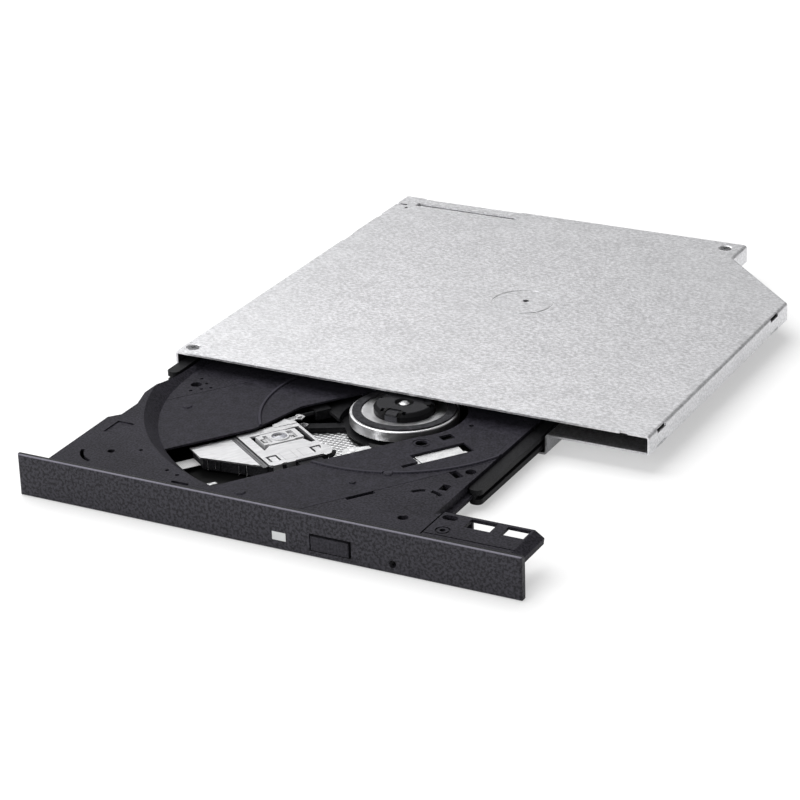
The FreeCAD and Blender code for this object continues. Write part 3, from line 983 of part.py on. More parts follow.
# Bezel with its openings, a step along the top of its back, and clips that enter the tray
bezel_back = front
bezel_face = front - BEZEL_THICK
bezel_top = BEZEL_BOTTOM + BEZEL_HEIGHT
bezel_section = [(bezel_face, BEZEL_BOTTOM, 0.5), (bezel_back, BEZEL_BOTTOM), (bezel_back, bezel_top - 0.8),
                 (bezel_back - 0.5, bezel_top - 0.8), (bezel_back - 0.5, bezel_top, 0.3),
                 (bezel_face, bezel_top, 0.6)]
bezel = along_x(bezel_section, left, right)
ends = prism([(left, bezel_face, 0.6), (right, bezel_face, 0.6), (right, bezel_back), (left, bezel_back)],
             BEZEL_BOTTOM - 1, bezel_top + 1)
bezel = bezel.common(ends)
bezel = bezel.fuse([box(x, x + width, bezel_back - 0.1, front + TRAY_WALL + 0.6, rim_top - 2.5, rim_top - 1.3)
                    for x, width in clip_spans])
bezel_cuts = [box(BUTTON_X, BUTTON_X + BUTTON_WIDTH, bezel_face - 1, bezel_back + 1, BUTTON_Z, BUTTON_Z + BUTTON_HEIGHT),
              box(WINDOW_X, WINDOW_X + WINDOW_WIDTH, bezel_face - 1, bezel_back + 0.1, WINDOW_Z,
                  WINDOW_Z + WINDOW_HEIGHT),
              pin_y(EJECT_HOLE_RADIUS, EJECT_HOLE_X, EJECT_HOLE_Z, bezel_face - 1, bezel_back + 1)]
bezel = bezel.cut(bezel_cuts).removeSplitter()
window_stub = box(WINDOW_X + 0.7, WINDOW_X + WINDOW_WIDTH - 0.7, bezel_back - 0.1, 1.1, WINDOW_Z + 0.3,
                  WINDOW_Z + WINDOW_HEIGHT - 0.3)
led_window = fused([box(WINDOW_X, WINDOW_X + WINDOW_WIDTH, bezel_face + 0.05, bezel_back, WINDOW_Z,
                        WINDOW_Z + WINDOW_HEIGHT), window_stub])
cap_x0 = BUTTON_X + BUTTON_GAP
cap_x1 = BUTTON_X + BUTTON_WIDTH - BUTTON_GAP - 0.4
cap_z0 = BUTTON_Z + 0.12
cap_z1 = BUTTON_Z + BUTTON_HEIGHT - 0.6
cap = box(cap_x0, cap_x1, bezel_face - 0.1, bezel_back - BUTTON_TRAVEL - 0.05, cap_z0, cap_z1)
cap = fillet(cap, 0.3, lambda e: abs(e.BoundBox.YMin - (bezel_face - 0.1)) < 1e-6 and e.BoundBox.YLength < 1e-6)
stem_x = (cap_x0 + cap_x1) / 2
stem_z = cap_z0 + 1.7
stem_y = 1.7
neck = box(cap_x0, cap_x1, bezel_back - BUTTON_TRAVEL - 0.1, bezel_back + 0.1, cap_z0, floor_under - 0.3)
eject_button = fused([cap, neck, box(BUTTON_X - 0.7, BUTTON_X + BUTTON_WIDTH + 0.6, bezel_back + 0.02, bezel_back + 0.55,
                               tray_bottom + 0.35, floor_under - 0.3),
                      box(stem_x - 1.2, stem_x + 1.2, bezel_back, stem_y, stem_z - 0.7, stem_z + 0.7)])

# Front board with the switch behind the button and the lamp behind its window
front_board = prism([(0.5, 1.3), (31.0, 1.3), (31.0, 9.0), (6.5, 9.0)], front_board_z, front_board_top)
switch_y = 3.3
eject_switch = box(stem_x - 2.5, stem_x + 2.5, switch_y, switch_y + 3.2, front_board_top, stem_z + 1.2)
eject_switch = eject_switch.cut(pin_y(1.0, stem_x, stem_z, switch_y - 1, switch_y + 1.5))
switch_plunger = pin_y(0.9, stem_x, stem_z, stem_y, switch_y + 0.7)
lamp_x = WINDOW_X + WINDOW_WIDTH / 2
led_lamp = box(lamp_x - 0.8, lamp_x + 0.8, 1.4, 2.8, front_board_top, WINDOW_Z + WINDOW_HEIGHT - 0.4)

# Each piece with the share of the tray's way that it has made: none, half or all of it
pieces = {
    "top_cover": (top_cover, 0), "bottom_case": (bottom_case, 0), "cover_screws": (cover_screws, 0),
    "pressed_inserts": (pressed_inserts, 0), "left_guide": (left_guide, 0), "right_guide": (right_guide, 0),
    "guide_screws": (guide_screws, 0), "main_board": (main_board, 0), "board_chips": (board_chips, 0),
    "board_plug": (board_plug, 0), "board_screws": (board_screws, 0), "sata_connector": (sata_connector, 0),
    "connector_contacts": (connector_contacts, 0), "connector_shield": (connector_shield, 0),
    "ribbon_fixed": (ribbon_fixed, 0), "ribbon_loop": (ribbon_loop, 0),
    "left_rail": (left_rail, 0.5), "right_rail": (right_rail, 0.5),
    "tray": (tray, 1), "tray_cover": (tray_cover, 1), "tray_cover_screws": (tray_cover_screws, 1),
    "traverse_cover": (traverse_cover, 1), "cover_studs": (cover_studs, 1), "traverse_base": (traverse_base, 1),
    "traverse_dampers": (traverse_dampers, 1), "damper_screws": (damper_screws, 1), "main_shaft": (main_shaft, 1),
    "sub_shaft": (sub_shaft, 1), "sled_motor": (sled_motor, 1), "lead_screw": (lead_screw, 1),
    "motor_plate": (motor_plate, 1), "motor_screws": (motor_screws, 1), "stator": (stator, 1),
    "rotor_cup": (rotor_cup, 1), "rotor_magnet": (rotor_magnet, 1), "turntable_pad": (turntable_pad, 1),
    "clamp_hub": (clamp_hub, 1), "hub_claws": (hub_claws, 1), "spindle_shaft": (spindle_shaft, 1),
    "pickup_base": (pickup_base, 1), "pickup_cover": (pickup_cover, 1), "pickup_tail": (pickup_tail, 1),
    "pickup_nut": (pickup_nut, 1), "lens_holder": (lens_holder, 1), "objective_lens": (objective_lens, 1),
    "actuator_yoke": (actuator_yoke, 1), "pickup_ribbon": (pickup_ribbon, 1), "lock_lever": (lock_lever, 1),
    "lever_spring": (lever_spring, 1), "solenoid_yoke": (solenoid_yoke, 1), "solenoid_coil": (solenoid_coil, 1),
    "solenoid_plunger": (solenoid_plunger, 1), "push_rod": (push_rod, 1), "bezel": (bezel, 1),
    "led_window": (led_window, 1), "eject_button": (eject_button, 1), "front_board": (front_board, 1),
    "eject_switch": (eject_switch, 1), "switch_plunger": (switch_plunger, 1), "led_lamp": (led_lamp, 1),
}
os.makedirs("parts", exist_ok=True)
for name, (shape, share) in pieces.items():
    placed = shape.copy()
    placed.translate(V(0, -CASE_DEPTH / 2 - TRAY_OUT * share, 0))
    placed.exportStep(f"parts/{name}.step")
    print(name, len(placed.Solids), round(placed.Volume, 2), placed.isValid())
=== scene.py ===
"""Looks of a slim internal disc drive with its tray half out: finishes, small sheet parts and studio."""

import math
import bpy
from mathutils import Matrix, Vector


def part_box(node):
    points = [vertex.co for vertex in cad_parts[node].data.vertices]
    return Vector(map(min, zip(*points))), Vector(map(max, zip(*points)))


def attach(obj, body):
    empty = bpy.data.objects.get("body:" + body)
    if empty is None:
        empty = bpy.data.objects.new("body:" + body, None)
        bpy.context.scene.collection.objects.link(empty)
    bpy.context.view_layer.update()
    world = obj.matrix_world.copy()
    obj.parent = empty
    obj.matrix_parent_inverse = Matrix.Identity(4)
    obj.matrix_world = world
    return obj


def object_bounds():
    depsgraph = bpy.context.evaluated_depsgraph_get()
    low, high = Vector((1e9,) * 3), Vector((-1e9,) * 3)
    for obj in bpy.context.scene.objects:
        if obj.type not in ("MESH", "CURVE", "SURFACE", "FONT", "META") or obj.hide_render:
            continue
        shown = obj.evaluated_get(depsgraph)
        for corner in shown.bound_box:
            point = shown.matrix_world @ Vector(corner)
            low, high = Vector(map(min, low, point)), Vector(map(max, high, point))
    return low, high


bl_info = {
    "name": "Slim Disc Drive",
    "version": (1, 0, 0),
    "blender": (4, 5, 0),
    "location": "View3D > Sidebar > Disc Drive",
    "description": "Finishes and small sheet parts of a slim tray-load disc drive",
    "category": "Add Mesh",
}

import bmesh
import bpy
from bpy.props import FloatProperty, FloatVectorProperty, IntProperty, PointerProperty
from mathutils import Matrix, Vector

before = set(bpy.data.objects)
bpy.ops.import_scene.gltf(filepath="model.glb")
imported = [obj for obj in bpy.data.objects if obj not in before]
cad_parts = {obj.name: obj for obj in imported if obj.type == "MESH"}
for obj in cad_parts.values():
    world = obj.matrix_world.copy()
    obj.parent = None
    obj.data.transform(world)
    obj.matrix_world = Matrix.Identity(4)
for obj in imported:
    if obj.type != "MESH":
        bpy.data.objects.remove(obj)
CAD_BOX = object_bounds()

MM = 0.001

# Places that several finishes share, in millimetres
SPINDLE = (1.6, -65.35)
TRAVERSE_TURN = math.radians(54.5)
FILM_EDGE = 44.0
RIDGE_RADIUS = 34.8
SEAT_FLOOR = 5.7
CLAW_ANGLES = (30.5, 150.5, 270.5)
CLAW_REACH = 4.6
CLAW_HALF = 1.7
CLAW_SLOT = 2.0
HUB_TOP = 8.2
PICKUP_DECK = 4.3
BEZEL_FACE = -132.15
BEZEL_TOP = 10.4

# Marks in the finishes, in millimetres along and across the pickup's way, counted from the spindle
BARE_SPOT = (-52.6, -4.6)
PAD_CENTRES = ((-33.9, -6.7), (-29.3, -6.6))
PAD_HALF = (1.5, 2.1)
HOLDER_SLOTS = ((-35.4, 3.2), (-28.3, 3.0))
SLOT_HALF = (0.75, 1.15)
TONGUE_HALF = (0.30, 0.80)
# Place and size of the painted dark reflection on the lens.
DARK_REFLECTION = (-31.6, 4.1)
DARK_REFLECTION_HALF = (0.75, 0.55)

# Outlines of the small sheet parts, in the same millimetres
COVER_TAB = ((-30.3, 9.2), (-24.3, 9.0), (-24.3, 9.9), (-25.2, 11.0), (-26.1, 12.5), (-27.3, 11.6),
             (-30.1, 10.6))
COVER_LUG = ((-26.6, -9.4), (-26.2, -11.1), (-24.7, -10.8), (-23.2, -8.7), (-23.7, -5.5),
             (-25.0, -5.5))
LEAF = ((-26.0, 10.9), (-26.0, 12.9), (-23.0, 13.4), (-21.0, 13.2), (-20.8, 12.0), (-22.2, 10.9),
        (-23.4, 11.7), (-24.2, 10.9))
LEAF_SCREW = (-22.3, 12.5)
MOTOR_COVER = ((-9.3, -27.9), (2.7, -27.9), (2.4, -26.4), (1.9, -26.3), (2.2, -23.3), (-9.3, -23.3))
MOTOR_LIP = ((-10.3, -23.6), (-10.3, -27.5), (-14.6, -27.6), (-14.6, -28.0), (-9.75, -28.0),
             (-9.75, -23.6))
BRACKET = ((-21.0, -9.6), (-20.6, -7.6), (-19.2, -5.9), (-17.4, -5.5), (-15.4, -6.6), (-13.3, -7.1),
           (-11.8, -8.2), (-11.4, -9.6))
BRACKET_SCREW = (-18.1, -7.4)
STOP_PLACE = (-24.0, -9.6, 3.95)
STOP_HALF = (2.0, 0.75, 0.72)
STOP_TURN = math.radians(42.0)

# The fold's outline along the pickup's way and over the tail's sheet, and its start and length across
FOLD = ((-41.6, 0.0), (-41.5, 0.12), (-41.25, 0.12), (-41.15, 0.03), (-40.95, 0.03), (-40.85, 0.14),
        (-40.35, 0.14), (-40.25, 0.0))
FOLD_START = -9.7
FOLD_LENGTH = 19.0

# The clips' slanting edge, in the frame's millimetres: a point of it, its run, and the clips' middles
CLIP_EDGE = (-31.28, -105.77)
CLIP_RUN = (13.36, 1.52)
CLIP_MIDDLES = (-28.45, -20.5)
CLIP_HEIGHT = 2.7
CLIP_DEPTH = 0.7
CLIP_DROP = 0.42

# Lights and floor of the studio, in metres
FLOOR_HALF = 6.0
FLOOR_GAP = 0.00002
KEY_PLACE = (-0.35, 0.08, 0.75)
KEY_AIM = (0.0, 0.0, 0.0)
KEY_SIZE = 0.9
FRONT_PLACE = (-0.25, -0.80, 0.32)
FRONT_AIM = (0.0, -0.1, 0.0)
FRONT_SIZE = 0.5

# Shades of small marks and hidden pieces, among them painted shade for slots and gaps and a painted
# shadow
BLACK = (0.012, 0.012, 0.013)
# Painted shade inside the lens holder's slots.
SLOT_SHADE = (0.006, 0.006, 0.006)
FILM_BLACK = (0.003, 0.003, 0.003)
# Painted shade in the gaps beside the hub's claws.
GAP_SHADE = (0.0006, 0.0006, 0.0006)
# Painted shadow on the embossed sheet.
PAINTED_SHADOW = (0.010, 0.010, 0.011)
TIN = (0.55, 0.55, 0.56)


class Sock:
    """A shader socket that takes part in sums and products."""

    def __init__(self, shader, socket):
        self.shader = shader
        self.socket = socket

    def math(self, operation, *values):
        """A Math node on this shader's tree."""
        return self.shader.node("ShaderNodeMath", {"operation": operation}, dict(enumerate(values)))

    def larger(self, other):
        """The larger of two values."""
        return self.math("MAXIMUM", self, other)

    def __add__(self, other):
        return self.math("ADD", self, other)

    def __mul__(self, other):
        return self.math("MULTIPLY", self, other)

    def __sub__(self, other):
        return self.math("SUBTRACT", self, other)

    def __pow__(self, other):
        return self.math("POWER", self, other)

    def sine(self):
        return self.math("SINE", self)

    def absolute(self):
        return self.math("ABSOLUTE", self)

    def rise(self, low, high):
        """0 below low, 1 above high, smooth between; a high below low turns it round."""
        settings = {"interpolation_type": "SMOOTHSTEP"}
        values = {"Value": self, "From Min": low, "From Max": high}
        return self.shader.node("ShaderNodeMapRange", settings, values)


class Shader:
    """The node tree of one material, written as expressions."""

    def __init__(self, name):
        self.material = bpy.data.materials.new(name)
        self.material.use_nodes = True
        self.tree = self.material.node_tree
        self.tree.nodes.clear()
        self.coordinates = None

    def node(self, kind, settings=None, values=None, output=0):
        """One node: its settings are set first, then the values or links of its sockets."""
        made = self.tree.nodes.new(kind)
        for key, value in (settings or {}).items():
            setattr(made, key, value)
        for key, value in (values or {}).items():
            socket = made.inputs[key]
            if isinstance(value, Sock):
                self.tree.links.new(value.socket, socket)
            elif socket.type == "RGBA" and len(value) == 3:
                socket.default_value = (*value, 1.0)
            else:
                socket.default_value = value
        return Sock(self, made.outputs[output])

    def place(self, centre=(0, 0, 0), turn=0.0, size=(1, 1, 1)):
        """Object coordinates in millimetres from a centre, turned about +Z and stretched by size."""
        if self.coordinates is None:
            self.coordinates = self.node("ShaderNodeTexCoord", output="Object")
        values = {
            "Vector": self.coordinates,
            "Location": [c * MM for c in centre],
            "Rotation": (0, 0, turn),
            "Scale": [s * MM for s in size],
        }
        return self.node("ShaderNodeMapping", {"vector_type": "TEXTURE"}, values)

    def axes(self, vector):
        """The three numbers of a vector."""
        split = self.node("ShaderNodeSeparateXYZ", None, {0: vector})
        return [Sock(self, socket) for socket in split.socket.node.outputs]

    def traverse(self):
        """Millimetres along and across the pickup's way, counted from the spindle, and the height."""
        return self.axes(self.place(centre=(*SPINDLE, 0.0), turn=TRAVERSE_TURN))

    def patch(self, first, second, centre, half, soft=0.12):
        """1 inside a small rectangle, and 0 outside it."""
        inside_first = (first - centre[0]).absolute().rise(half[0] + soft, half[0])
        inside_second = (second - centre[1]).absolute().rise(half[1] + soft, half[1])
        return inside_first * inside_second

    def noise(self, vector, scale, detail=2.0, roughness=0.5):
        """Noise with that many features to a millimetre of the vector."""
        values = {"Vector": vector, "Scale": scale, "Detail": detail, "Roughness": roughness}
        return self.node("ShaderNodeTexNoise", None, values)

    def cells(self, vector, scale):
        """Distance to the nearest cell point."""
        return self.node("ShaderNodeTexVoronoi", {"feature": "F1"}, {"Vector": vector, "Scale": scale})

    def mix(self, factor, first, second):
        """A colour between two colours."""
        settings = {"data_type": "RGBA"}
        return self.node("ShaderNodeMix", settings, {0: factor, 6: first, 7: second}, output=2)

    def bump(self, height, depth):
        """A normal from a height of 0 to 1 that stands for that depth in millimetres."""
        values = {"Height": height, "Distance": depth * MM, "Strength": 1.0}
        return self.node("ShaderNodeBump", None, values)

    def finish(self, colour, roughness=0.5, metallic=0.0, normal=None, **fixed):
        """Principled surface on the material output."""
        values = {"Base Color": colour, "Roughness": roughness, "Metallic": metallic}
        if normal is not None:
            values["Normal"] = normal
        for name, value in fixed.items():
            values[name.replace("_", " ")] = value
        return self.show(self.node("ShaderNodeBsdfPrincipled", None, values))

    def show(self, surface):
        """Leads a surface to the material output."""
        out = self.tree.nodes.new("ShaderNodeOutputMaterial")
        self.tree.links.new(surface.socket, out.inputs["Surface"])
        return self.material


def tint(colour, factor):
    """A lighter or darker copy of a colour."""
    return tuple(min(1.0, channel * factor) for channel in colour)


def dress(material, *nodes):
    """Gives the CAD nodes that material."""
    for name in nodes:
        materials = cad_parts[name].data.materials
        materials.clear()
        materials.append(material)


def zinc_sheet(name, colour, roughness, streak=(1.5, 1.0, 1.0), turn=0.0, contrast=1.0):
    """Zinc-coated rolled sheet: short mottled streaks along the rolling direction, with fine grain."""
    s = Shader(name)
    rolled = s.place(turn=turn, size=streak)
    plain = s.place()
    streaks = s.noise(rolled, 1.5, 3.0, 0.65)
    clouds = s.noise(rolled, 0.12, 3.0, 0.55)
    grain = s.noise(plain, 3.6, 2.0, 0.6)
    spread = (streaks - 0.5) * (1.4 * contrast) + (clouds - 0.5) * (0.25 * contrast) + (grain - 0.5) * 0.8
    tone = (spread + 0.5).rise(0.05, 0.95)
    colour_here = s.mix(tone, tint(colour, 0.72), tint(colour, 1.22))
    rough_here = (streaks - 0.5) * 0.25 + (grain - 0.5) * 0.10 + roughness
    normal = s.bump(streaks * 0.7 + grain * 0.3, 0.014)
    return s.finish(colour_here, rough_here, 1.0, normal)


def machined(name, colour, roughness, centre=SPINDLE, pitch=0.16, depth=0.004, turned=True):
    """Bright metal: turned in fine rings about a centre, or ground along its length."""
    s = Shader(name)
    here = s.place(centre=(*centre, 0.0))
    if turned:
        x, y, _ = s.axes(here)
        radius = (x * x + y * y) ** 0.5
        lines = (radius * (2 * math.pi / pitch)).sine() * 0.5 + 0.5
    else:
        lines = s.noise(s.place(turn=TRAVERSE_TURN, size=(14.0, 1.0, 1.0)), 3.0, 3.0)
    stains = s.noise(here, 0.45, 3.0)
    colour_here = s.mix(stains.rise(0.25, 0.75), tint(colour, 0.86), tint(colour, 1.08))
    rough_here = (stains - 0.5) * 0.14 + lines * 0.05 + roughness
    return s.finish(colour_here, rough_here, 1.0, s.bump(lines, depth))


def crest(s, colour_here, colour):
    """A colour that turns paler along the crest of the ring round the turntable: a painted highlight."""
    x, y, z = s.axes(s.place(centre=(*SPINDLE, 0.0)))
    off = ((x * x + y * y) ** 0.5 - RIDGE_RADIUS).absolute()
    # Painted highlight: the ring's top is made paler, standing in for light falling on it.
    painted_highlight = off.rise(0.45, 0.20) * z.rise(SEAT_FLOOR + 0.02, SEAT_FLOOR + 0.15)
    return s.mix(painted_highlight * 0.8, colour_here, tint(colour, 2.1))


def moulded(name, colour, roughness, grain=4.0, depth=0.02, contrast=0.4, specular=0.06, ringed=False):
    """Moulded plastic: spark-eroded grain with light and dark points, and slow changes of tone."""
    s = Shader(name)
    here = s.place()
    fine = s.noise(here, grain, 3.0, 0.6)
    points = fine.rise(0.33, 0.67)
    clouds = s.noise(here, 0.08, 3.0)
    tone = points * 0.75 + clouds.rise(0.3, 0.7) * 0.25
    colour_here = s.mix(tone, tint(colour, 1.0 - contrast), tint(colour, 1.0 + 1.5 * contrast))
    if ringed:
        colour_here = crest(s, colour_here, colour)
    rough_here = (fine - 0.5) * 0.22 + (clouds - 0.5) * 0.08 + roughness
    return s.finish(colour_here, rough_here, 0.0, s.bump(points, depth), Specular_IOR_Level=specular)


def painted(name, colour, roughness, depth=0.010, grain=3.0, ringed=False):
    """Thin matte paint on pressed sheet, with a fine grain and dust nibs."""
    s = Shader(name)
    here = s.place()
    flow = s.noise(here, 0.35, 2.0)
    nibs = s.cells(here, 1.7)
    grains = s.noise(here, grain, 2.0, 0.6).rise(0.33, 0.67)
    tone = grains * 0.75 + flow.rise(0.25, 0.75) * 0.25
    colour_here = s.mix(tone, tint(colour, 0.45), tint(colour, 1.8))
    dusty = s.mix(nibs.rise(0.10, 0.02) * 0.5, colour_here, tint(colour, 3.0))
    if ringed:
        dusty = crest(s, dusty, colour)
    rough_here = (grains - 0.5) * 0.10 + (flow - 0.5) * 0.10 + roughness
    normal = s.bump(grains * 0.6 + flow * 0.4, depth)
    return s.finish(dusty, rough_here, 0.0, normal, Specular_IOR_Level=0.06)


def embossed(name, colour, roughness, pitch, depth):
    """Bright sheet rolled with small raised diamonds, painted shade between them and a painted shadow
    from the slot's far edge, under a black film past the pickup's way.
    """
    s = Shader(name)
    x, y, _ = s.axes(s.place(turn=math.radians(45.0)))
    waves = (x * (2 * math.pi / pitch)).sine() * (y * (2 * math.pi / pitch)).sine()
    diamonds = waves.rise(-0.25, 0.45)
    streaks = s.noise(s.place(size=(5.0, 1.0, 1.0)), 1.5, 3.0)
    colour_here = s.mix(streaks.rise(0.2, 0.8), tint(colour, 0.85), tint(colour, 1.1))
    shaded = s.mix(diamonds, tint(colour, 0.68), colour_here)
    along, across, _ = s.traverse()
    edge = along.rise(-FILM_EDGE - 0.2, -FILM_EDGE)
    bare = edge.larger(s.patch(along, across, BARE_SPOT, (0.9, 0.25), 0.5))
    # Painted shadow cast by the slot's far edge, darkening the sheet towards the far side.
    far_side_shadow = (across + along * 0.39).rise(1.2, 5.4) * along.rise(-26.0, -24.0)
    shadowed = s.mix(far_side_shadow, shaded, PAINTED_SHADOW)
    rough_here = (streaks - 0.5) * 0.15 + roughness
    normal = s.bump(diamonds * bare, depth)
    return s.finish(s.mix(bare, FILM_BLACK, shadowed), rough_here, bare, normal, Specular_IOR_Level=0.05)


def clawed_hub(name, colour, roughness):
    """Hub plastic: a paler top, a side darkened with painted shade, and each claw's face with a painted
    sheen between two slots filled with painted shade.
    """
    s = Shader(name)
    x, y, z = s.axes(s.place(centre=(*SPINDLE, 0.0)))
    grain = s.noise(s.place(), 4.0, 2.0).rise(0.35, 0.65)
    top = z.rise(HUB_TOP - 0.2, HUB_TOP - 0.1)
    slots = 0.0
    faces = 0.0
    for degrees in CLAW_ANGLES:
        cosine = math.cos(math.radians(degrees))
        sine = math.sin(math.radians(degrees))
        outward = (x * cosine + y * sine).rise(CLAW_REACH, CLAW_REACH + 0.3)
        sideways = (y * cosine - x * sine).absolute()
        slots = outward * (sideways - CLAW_SLOT).absolute().rise(0.42, 0.30) + slots
        faces = outward * sideways.rise(CLAW_HALF + 0.05, CLAW_HALF - 0.05) + faces
    # Painted shade darkens the side, and a painted sheen lights each claw's face.
    skirt_shade_and_sheen = s.mix(faces, tint(colour, 0.35), tint(colour, 3.5))
    plain = s.mix(top, skirt_shade_and_sheen, s.mix(grain, tint(colour, 0.7), tint(colour, 1.4)))
    # Painted shade fills the slots beside each claw.
    colour_here = s.mix(slots, plain, GAP_SHADE)
    rough_here = grain * 0.08 + roughness
    return s.finish(colour_here, rough_here, 0.0, s.bump(grain, 0.006), Specular_IOR_Level=0.08)


def pressed_cover(name, colour, roughness):
    """Pale thin sheet with fine rolling lines and the outlines of two pressed pads."""
    s = Shader(name)
    along, across, _ = s.traverse()
    lines = s.noise(s.place(turn=TRAVERSE_TURN, size=(5.0, 1.0, 1.0)), 1.5, 3.0, 0.65)
    grain = s.noise(s.place(), 3.6, 2.0)
    tone = s.mix(lines.rise(0.2, 0.8), tint(colour, 0.90), tint(colour, 1.08))
    rims = 0.0
    for centre in PAD_CENTRES:
        out_along = (along - centre[0]).absolute() - PAD_HALF[0]
        out_across = (across - centre[1]).absolute() - PAD_HALF[1]
        rims = out_along.larger(out_across).absolute().rise(0.14, 0.06) + rims
    shade = s.mix(rims * 0.35, tone, tint(colour, 0.35))
    rough_here = (lines - 0.5) * 0.15 + (grain - 0.5) * 0.10 + roughness
    return s.finish(shade, rough_here, 1.0, s.bump(lines * 0.6 + grain * 0.4, 0.010))


def slotted_holder(name, colour, roughness):
    """Pale lens carrier with a framed slot near each end, darkened with painted shade."""
    s = Shader(name)
    along, across, _ = s.traverse()
    grain = s.noise(s.place(), 5.0, 2.0)
    slots = 0.0
    for centre in HOLDER_SLOTS:
        wide = s.patch(along, across, centre, SLOT_HALF, 0.06)
        tongue = s.patch(along, across, centre, TONGUE_HALF, 0.06)
        slots = wide - tongue * 0.8 + slots
    # Painted shade fills the slots.
    colour_here = s.mix(slots, s.mix(grain, tint(colour, 0.85), tint(colour, 1.1)), SLOT_SHADE)
    return s.finish(colour_here, grain * 0.1 + roughness, 0.0, s.bump(grain - slots, 0.02))


def bezel_plastic(name, colour, roughness):
    """Coarsely eroded front with a painted highlight along its top's front edge and painted shade on the
    rest of the top.
    """
    s = Shader(name)
    _, y, z = s.axes(s.place())
    fine = s.noise(s.place(), 1.4, 3.0, 0.6)
    points = fine.rise(0.38, 0.62)
    top = z.rise(BEZEL_TOP - 0.35, BEZEL_TOP - 0.15)
    # Painted highlight along the top's front edge, and painted shade on the rest of the top.
    edge_highlight = top * y.rise(BEZEL_FACE + 0.50, BEZEL_FACE + 0.35)
    top_shade = top * y.rise(BEZEL_FACE + 0.45, BEZEL_FACE + 0.60)
    face = s.mix(points, tint(colour, 0.55), tint(colour, 1.55))
    highlighted_face = s.mix(edge_highlight, face, tint(colour, 6.0))
    colour_here = s.mix(top_shade, highlighted_face, tint(colour, 0.2))
    rough_here = (fine - 0.5) * 0.25 + roughness
    return s.finish(colour_here, rough_here, 0.0, s.bump(points, 0.05), Specular_IOR_Level=0.12)


def rubber(name, colour, roughness):
    """Soft rubber with a chalky bloom."""
    s = Shader(name)
    here = s.place()
    bloom = s.noise(here, 0.9, 4.0, 0.65)
    pores = s.cells(here, 3.5)
    colour_here = s.mix(bloom.rise(0.35, 0.7), tint(colour, 0.7), tint(colour, 1.7))
    rough_here = bloom * 0.12 + roughness
    normal = s.bump(pores.rise(0.0, 0.4), 0.015)
    return s.finish(colour_here, rough_here, 0.0, normal, Specular_IOR_Level=0.08)


def lacquered_board(name, colour, copper):
    """Circuit board: lacquer over tracks that run square to the edges, with tinned points."""
    s = Shader(name)
    here = s.place()
    lanes = s.noise(s.place(size=(12.0, 1.2, 4.0)), 0.55, 0.0).rise(0.50, 0.53)
    cross = s.noise(s.place(size=(1.2, 12.0, 4.0)), 0.50, 0.0).rise(0.52, 0.55)
    tracks = lanes.larger(cross)
    points = s.cells(here, 0.45).rise(0.16, 0.12)
    lacquer = s.mix(tracks, colour, tint(colour, 1.75))
    colour_here = s.mix(points, lacquer, copper)
    rough_here = points * 0.15 + s.noise(here, 3.0) * 0.10 + 0.25
    return s.finish(colour_here, rough_here, points * 0.9, s.bump(tracks * 0.5 + points * 0.5, 0.03))


def wound_coil(name, colour, pitch, axis):
    """Enamelled wire wound side by side, darker between the turns with painted shade."""
    s = Shader(name)
    along = s.axes(s.place())[axis]
    turns = (along * (math.pi / pitch)).sine().absolute()
    # Painted shade in the grooves between the turns.
    colour_here = s.mix(turns, tint(colour, 0.35), colour)
    rough_here = s.noise(s.place(), 2.0) * 0.12 + 0.25
    return s.finish(colour_here, rough_here, 0.8, s.bump(turns, pitch * 0.5))


def flat_ribbon(name, colour, pitch, turn=0.0):
    """Flat flexible ribbon with its conductors showing through the film."""
    s = Shader(name)
    x, _, _ = s.axes(s.place(turn=turn))
    wires = (x * (2 * math.pi / pitch)).sine().rise(-0.2, 0.4)
    film = s.noise(s.place(), 0.8, 2.0)
    colour_here = s.mix(wires * 0.7, colour, tint(colour, 0.62))
    return s.finish(colour_here, film * 0.15 + 0.28, 0.0, s.bump(wires, 0.03))


def clear_cap(name, colour, roughness):
    """Milky clear plastic with faint flow lines."""
    s = Shader(name)
    flow = s.noise(s.place(size=(3.0, 1.0, 1.0)), 1.2, 2.0)
    colour_here = s.mix(flow, tint(colour, 0.92), tint(colour, 1.05))
    return s.finish(colour_here, flow * 0.10 + roughness, 0.0, s.bump(flow, 0.01), Coat_Weight=0.3)


def coated_lens(name, colour):
    """Small moulded lens with a bluish coating that changes towards its rim; its pale colour is a painted
    reflection of the bright surroundings, and a dark patch on it is a painted dark reflection.
    """
    s = Shader(name)
    facing = s.node("ShaderNodeLayerWeight", None, {"Blend": 0.35}, output="Facing")
    bloom = s.noise(s.place(), 1.5, 2.0)
    along, across, _ = s.traverse()
    dark_reflection = s.patch(along, across, DARK_REFLECTION, DARK_REFLECTION_HALF, 0.25)
    reflected_glass = s.mix(facing, colour, (0.20, 0.19, 0.24))
    colour_here = s.mix(dark_reflection, reflected_glass, (0.004, 0.004, 0.006))
    return s.finish(colour_here, bloom * 0.04 + 0.18, 0.0, s.bump(bloom, 0.002), Coat_Weight=0.4)


def over_traverse():
    """Carries millimetres along and across the pickup's way into the frame."""
    spindle = Matrix.Translation((SPINDLE[0] * MM, SPINDLE[1] * MM, 0.0))
    return spindle @ Matrix.Rotation(TRAVERSE_TURN, 4, "Z") @ Matrix.Scale(MM, 4)


def push_out(bm, faces, way):
    """Makes flat faces solid by pushing a copy of them along that way."""
    pushed = bmesh.ops.extrude_face_region(bm, geom=faces)["geom"]
    moved = [v for v in pushed if isinstance(v, bmesh.types.BMVert)]
    bmesh.ops.translate(bm, vec=way, verts=moved)


def cut_sheet(bm, outline, low, high):
    """A flat piece of sheet: its outline is filled and pushed from low up to high."""
    face = bm.faces.new([bm.verts.new((x, y, low)) for x, y in outline])
    push_out(bm, [face], (0, 0, high - low))


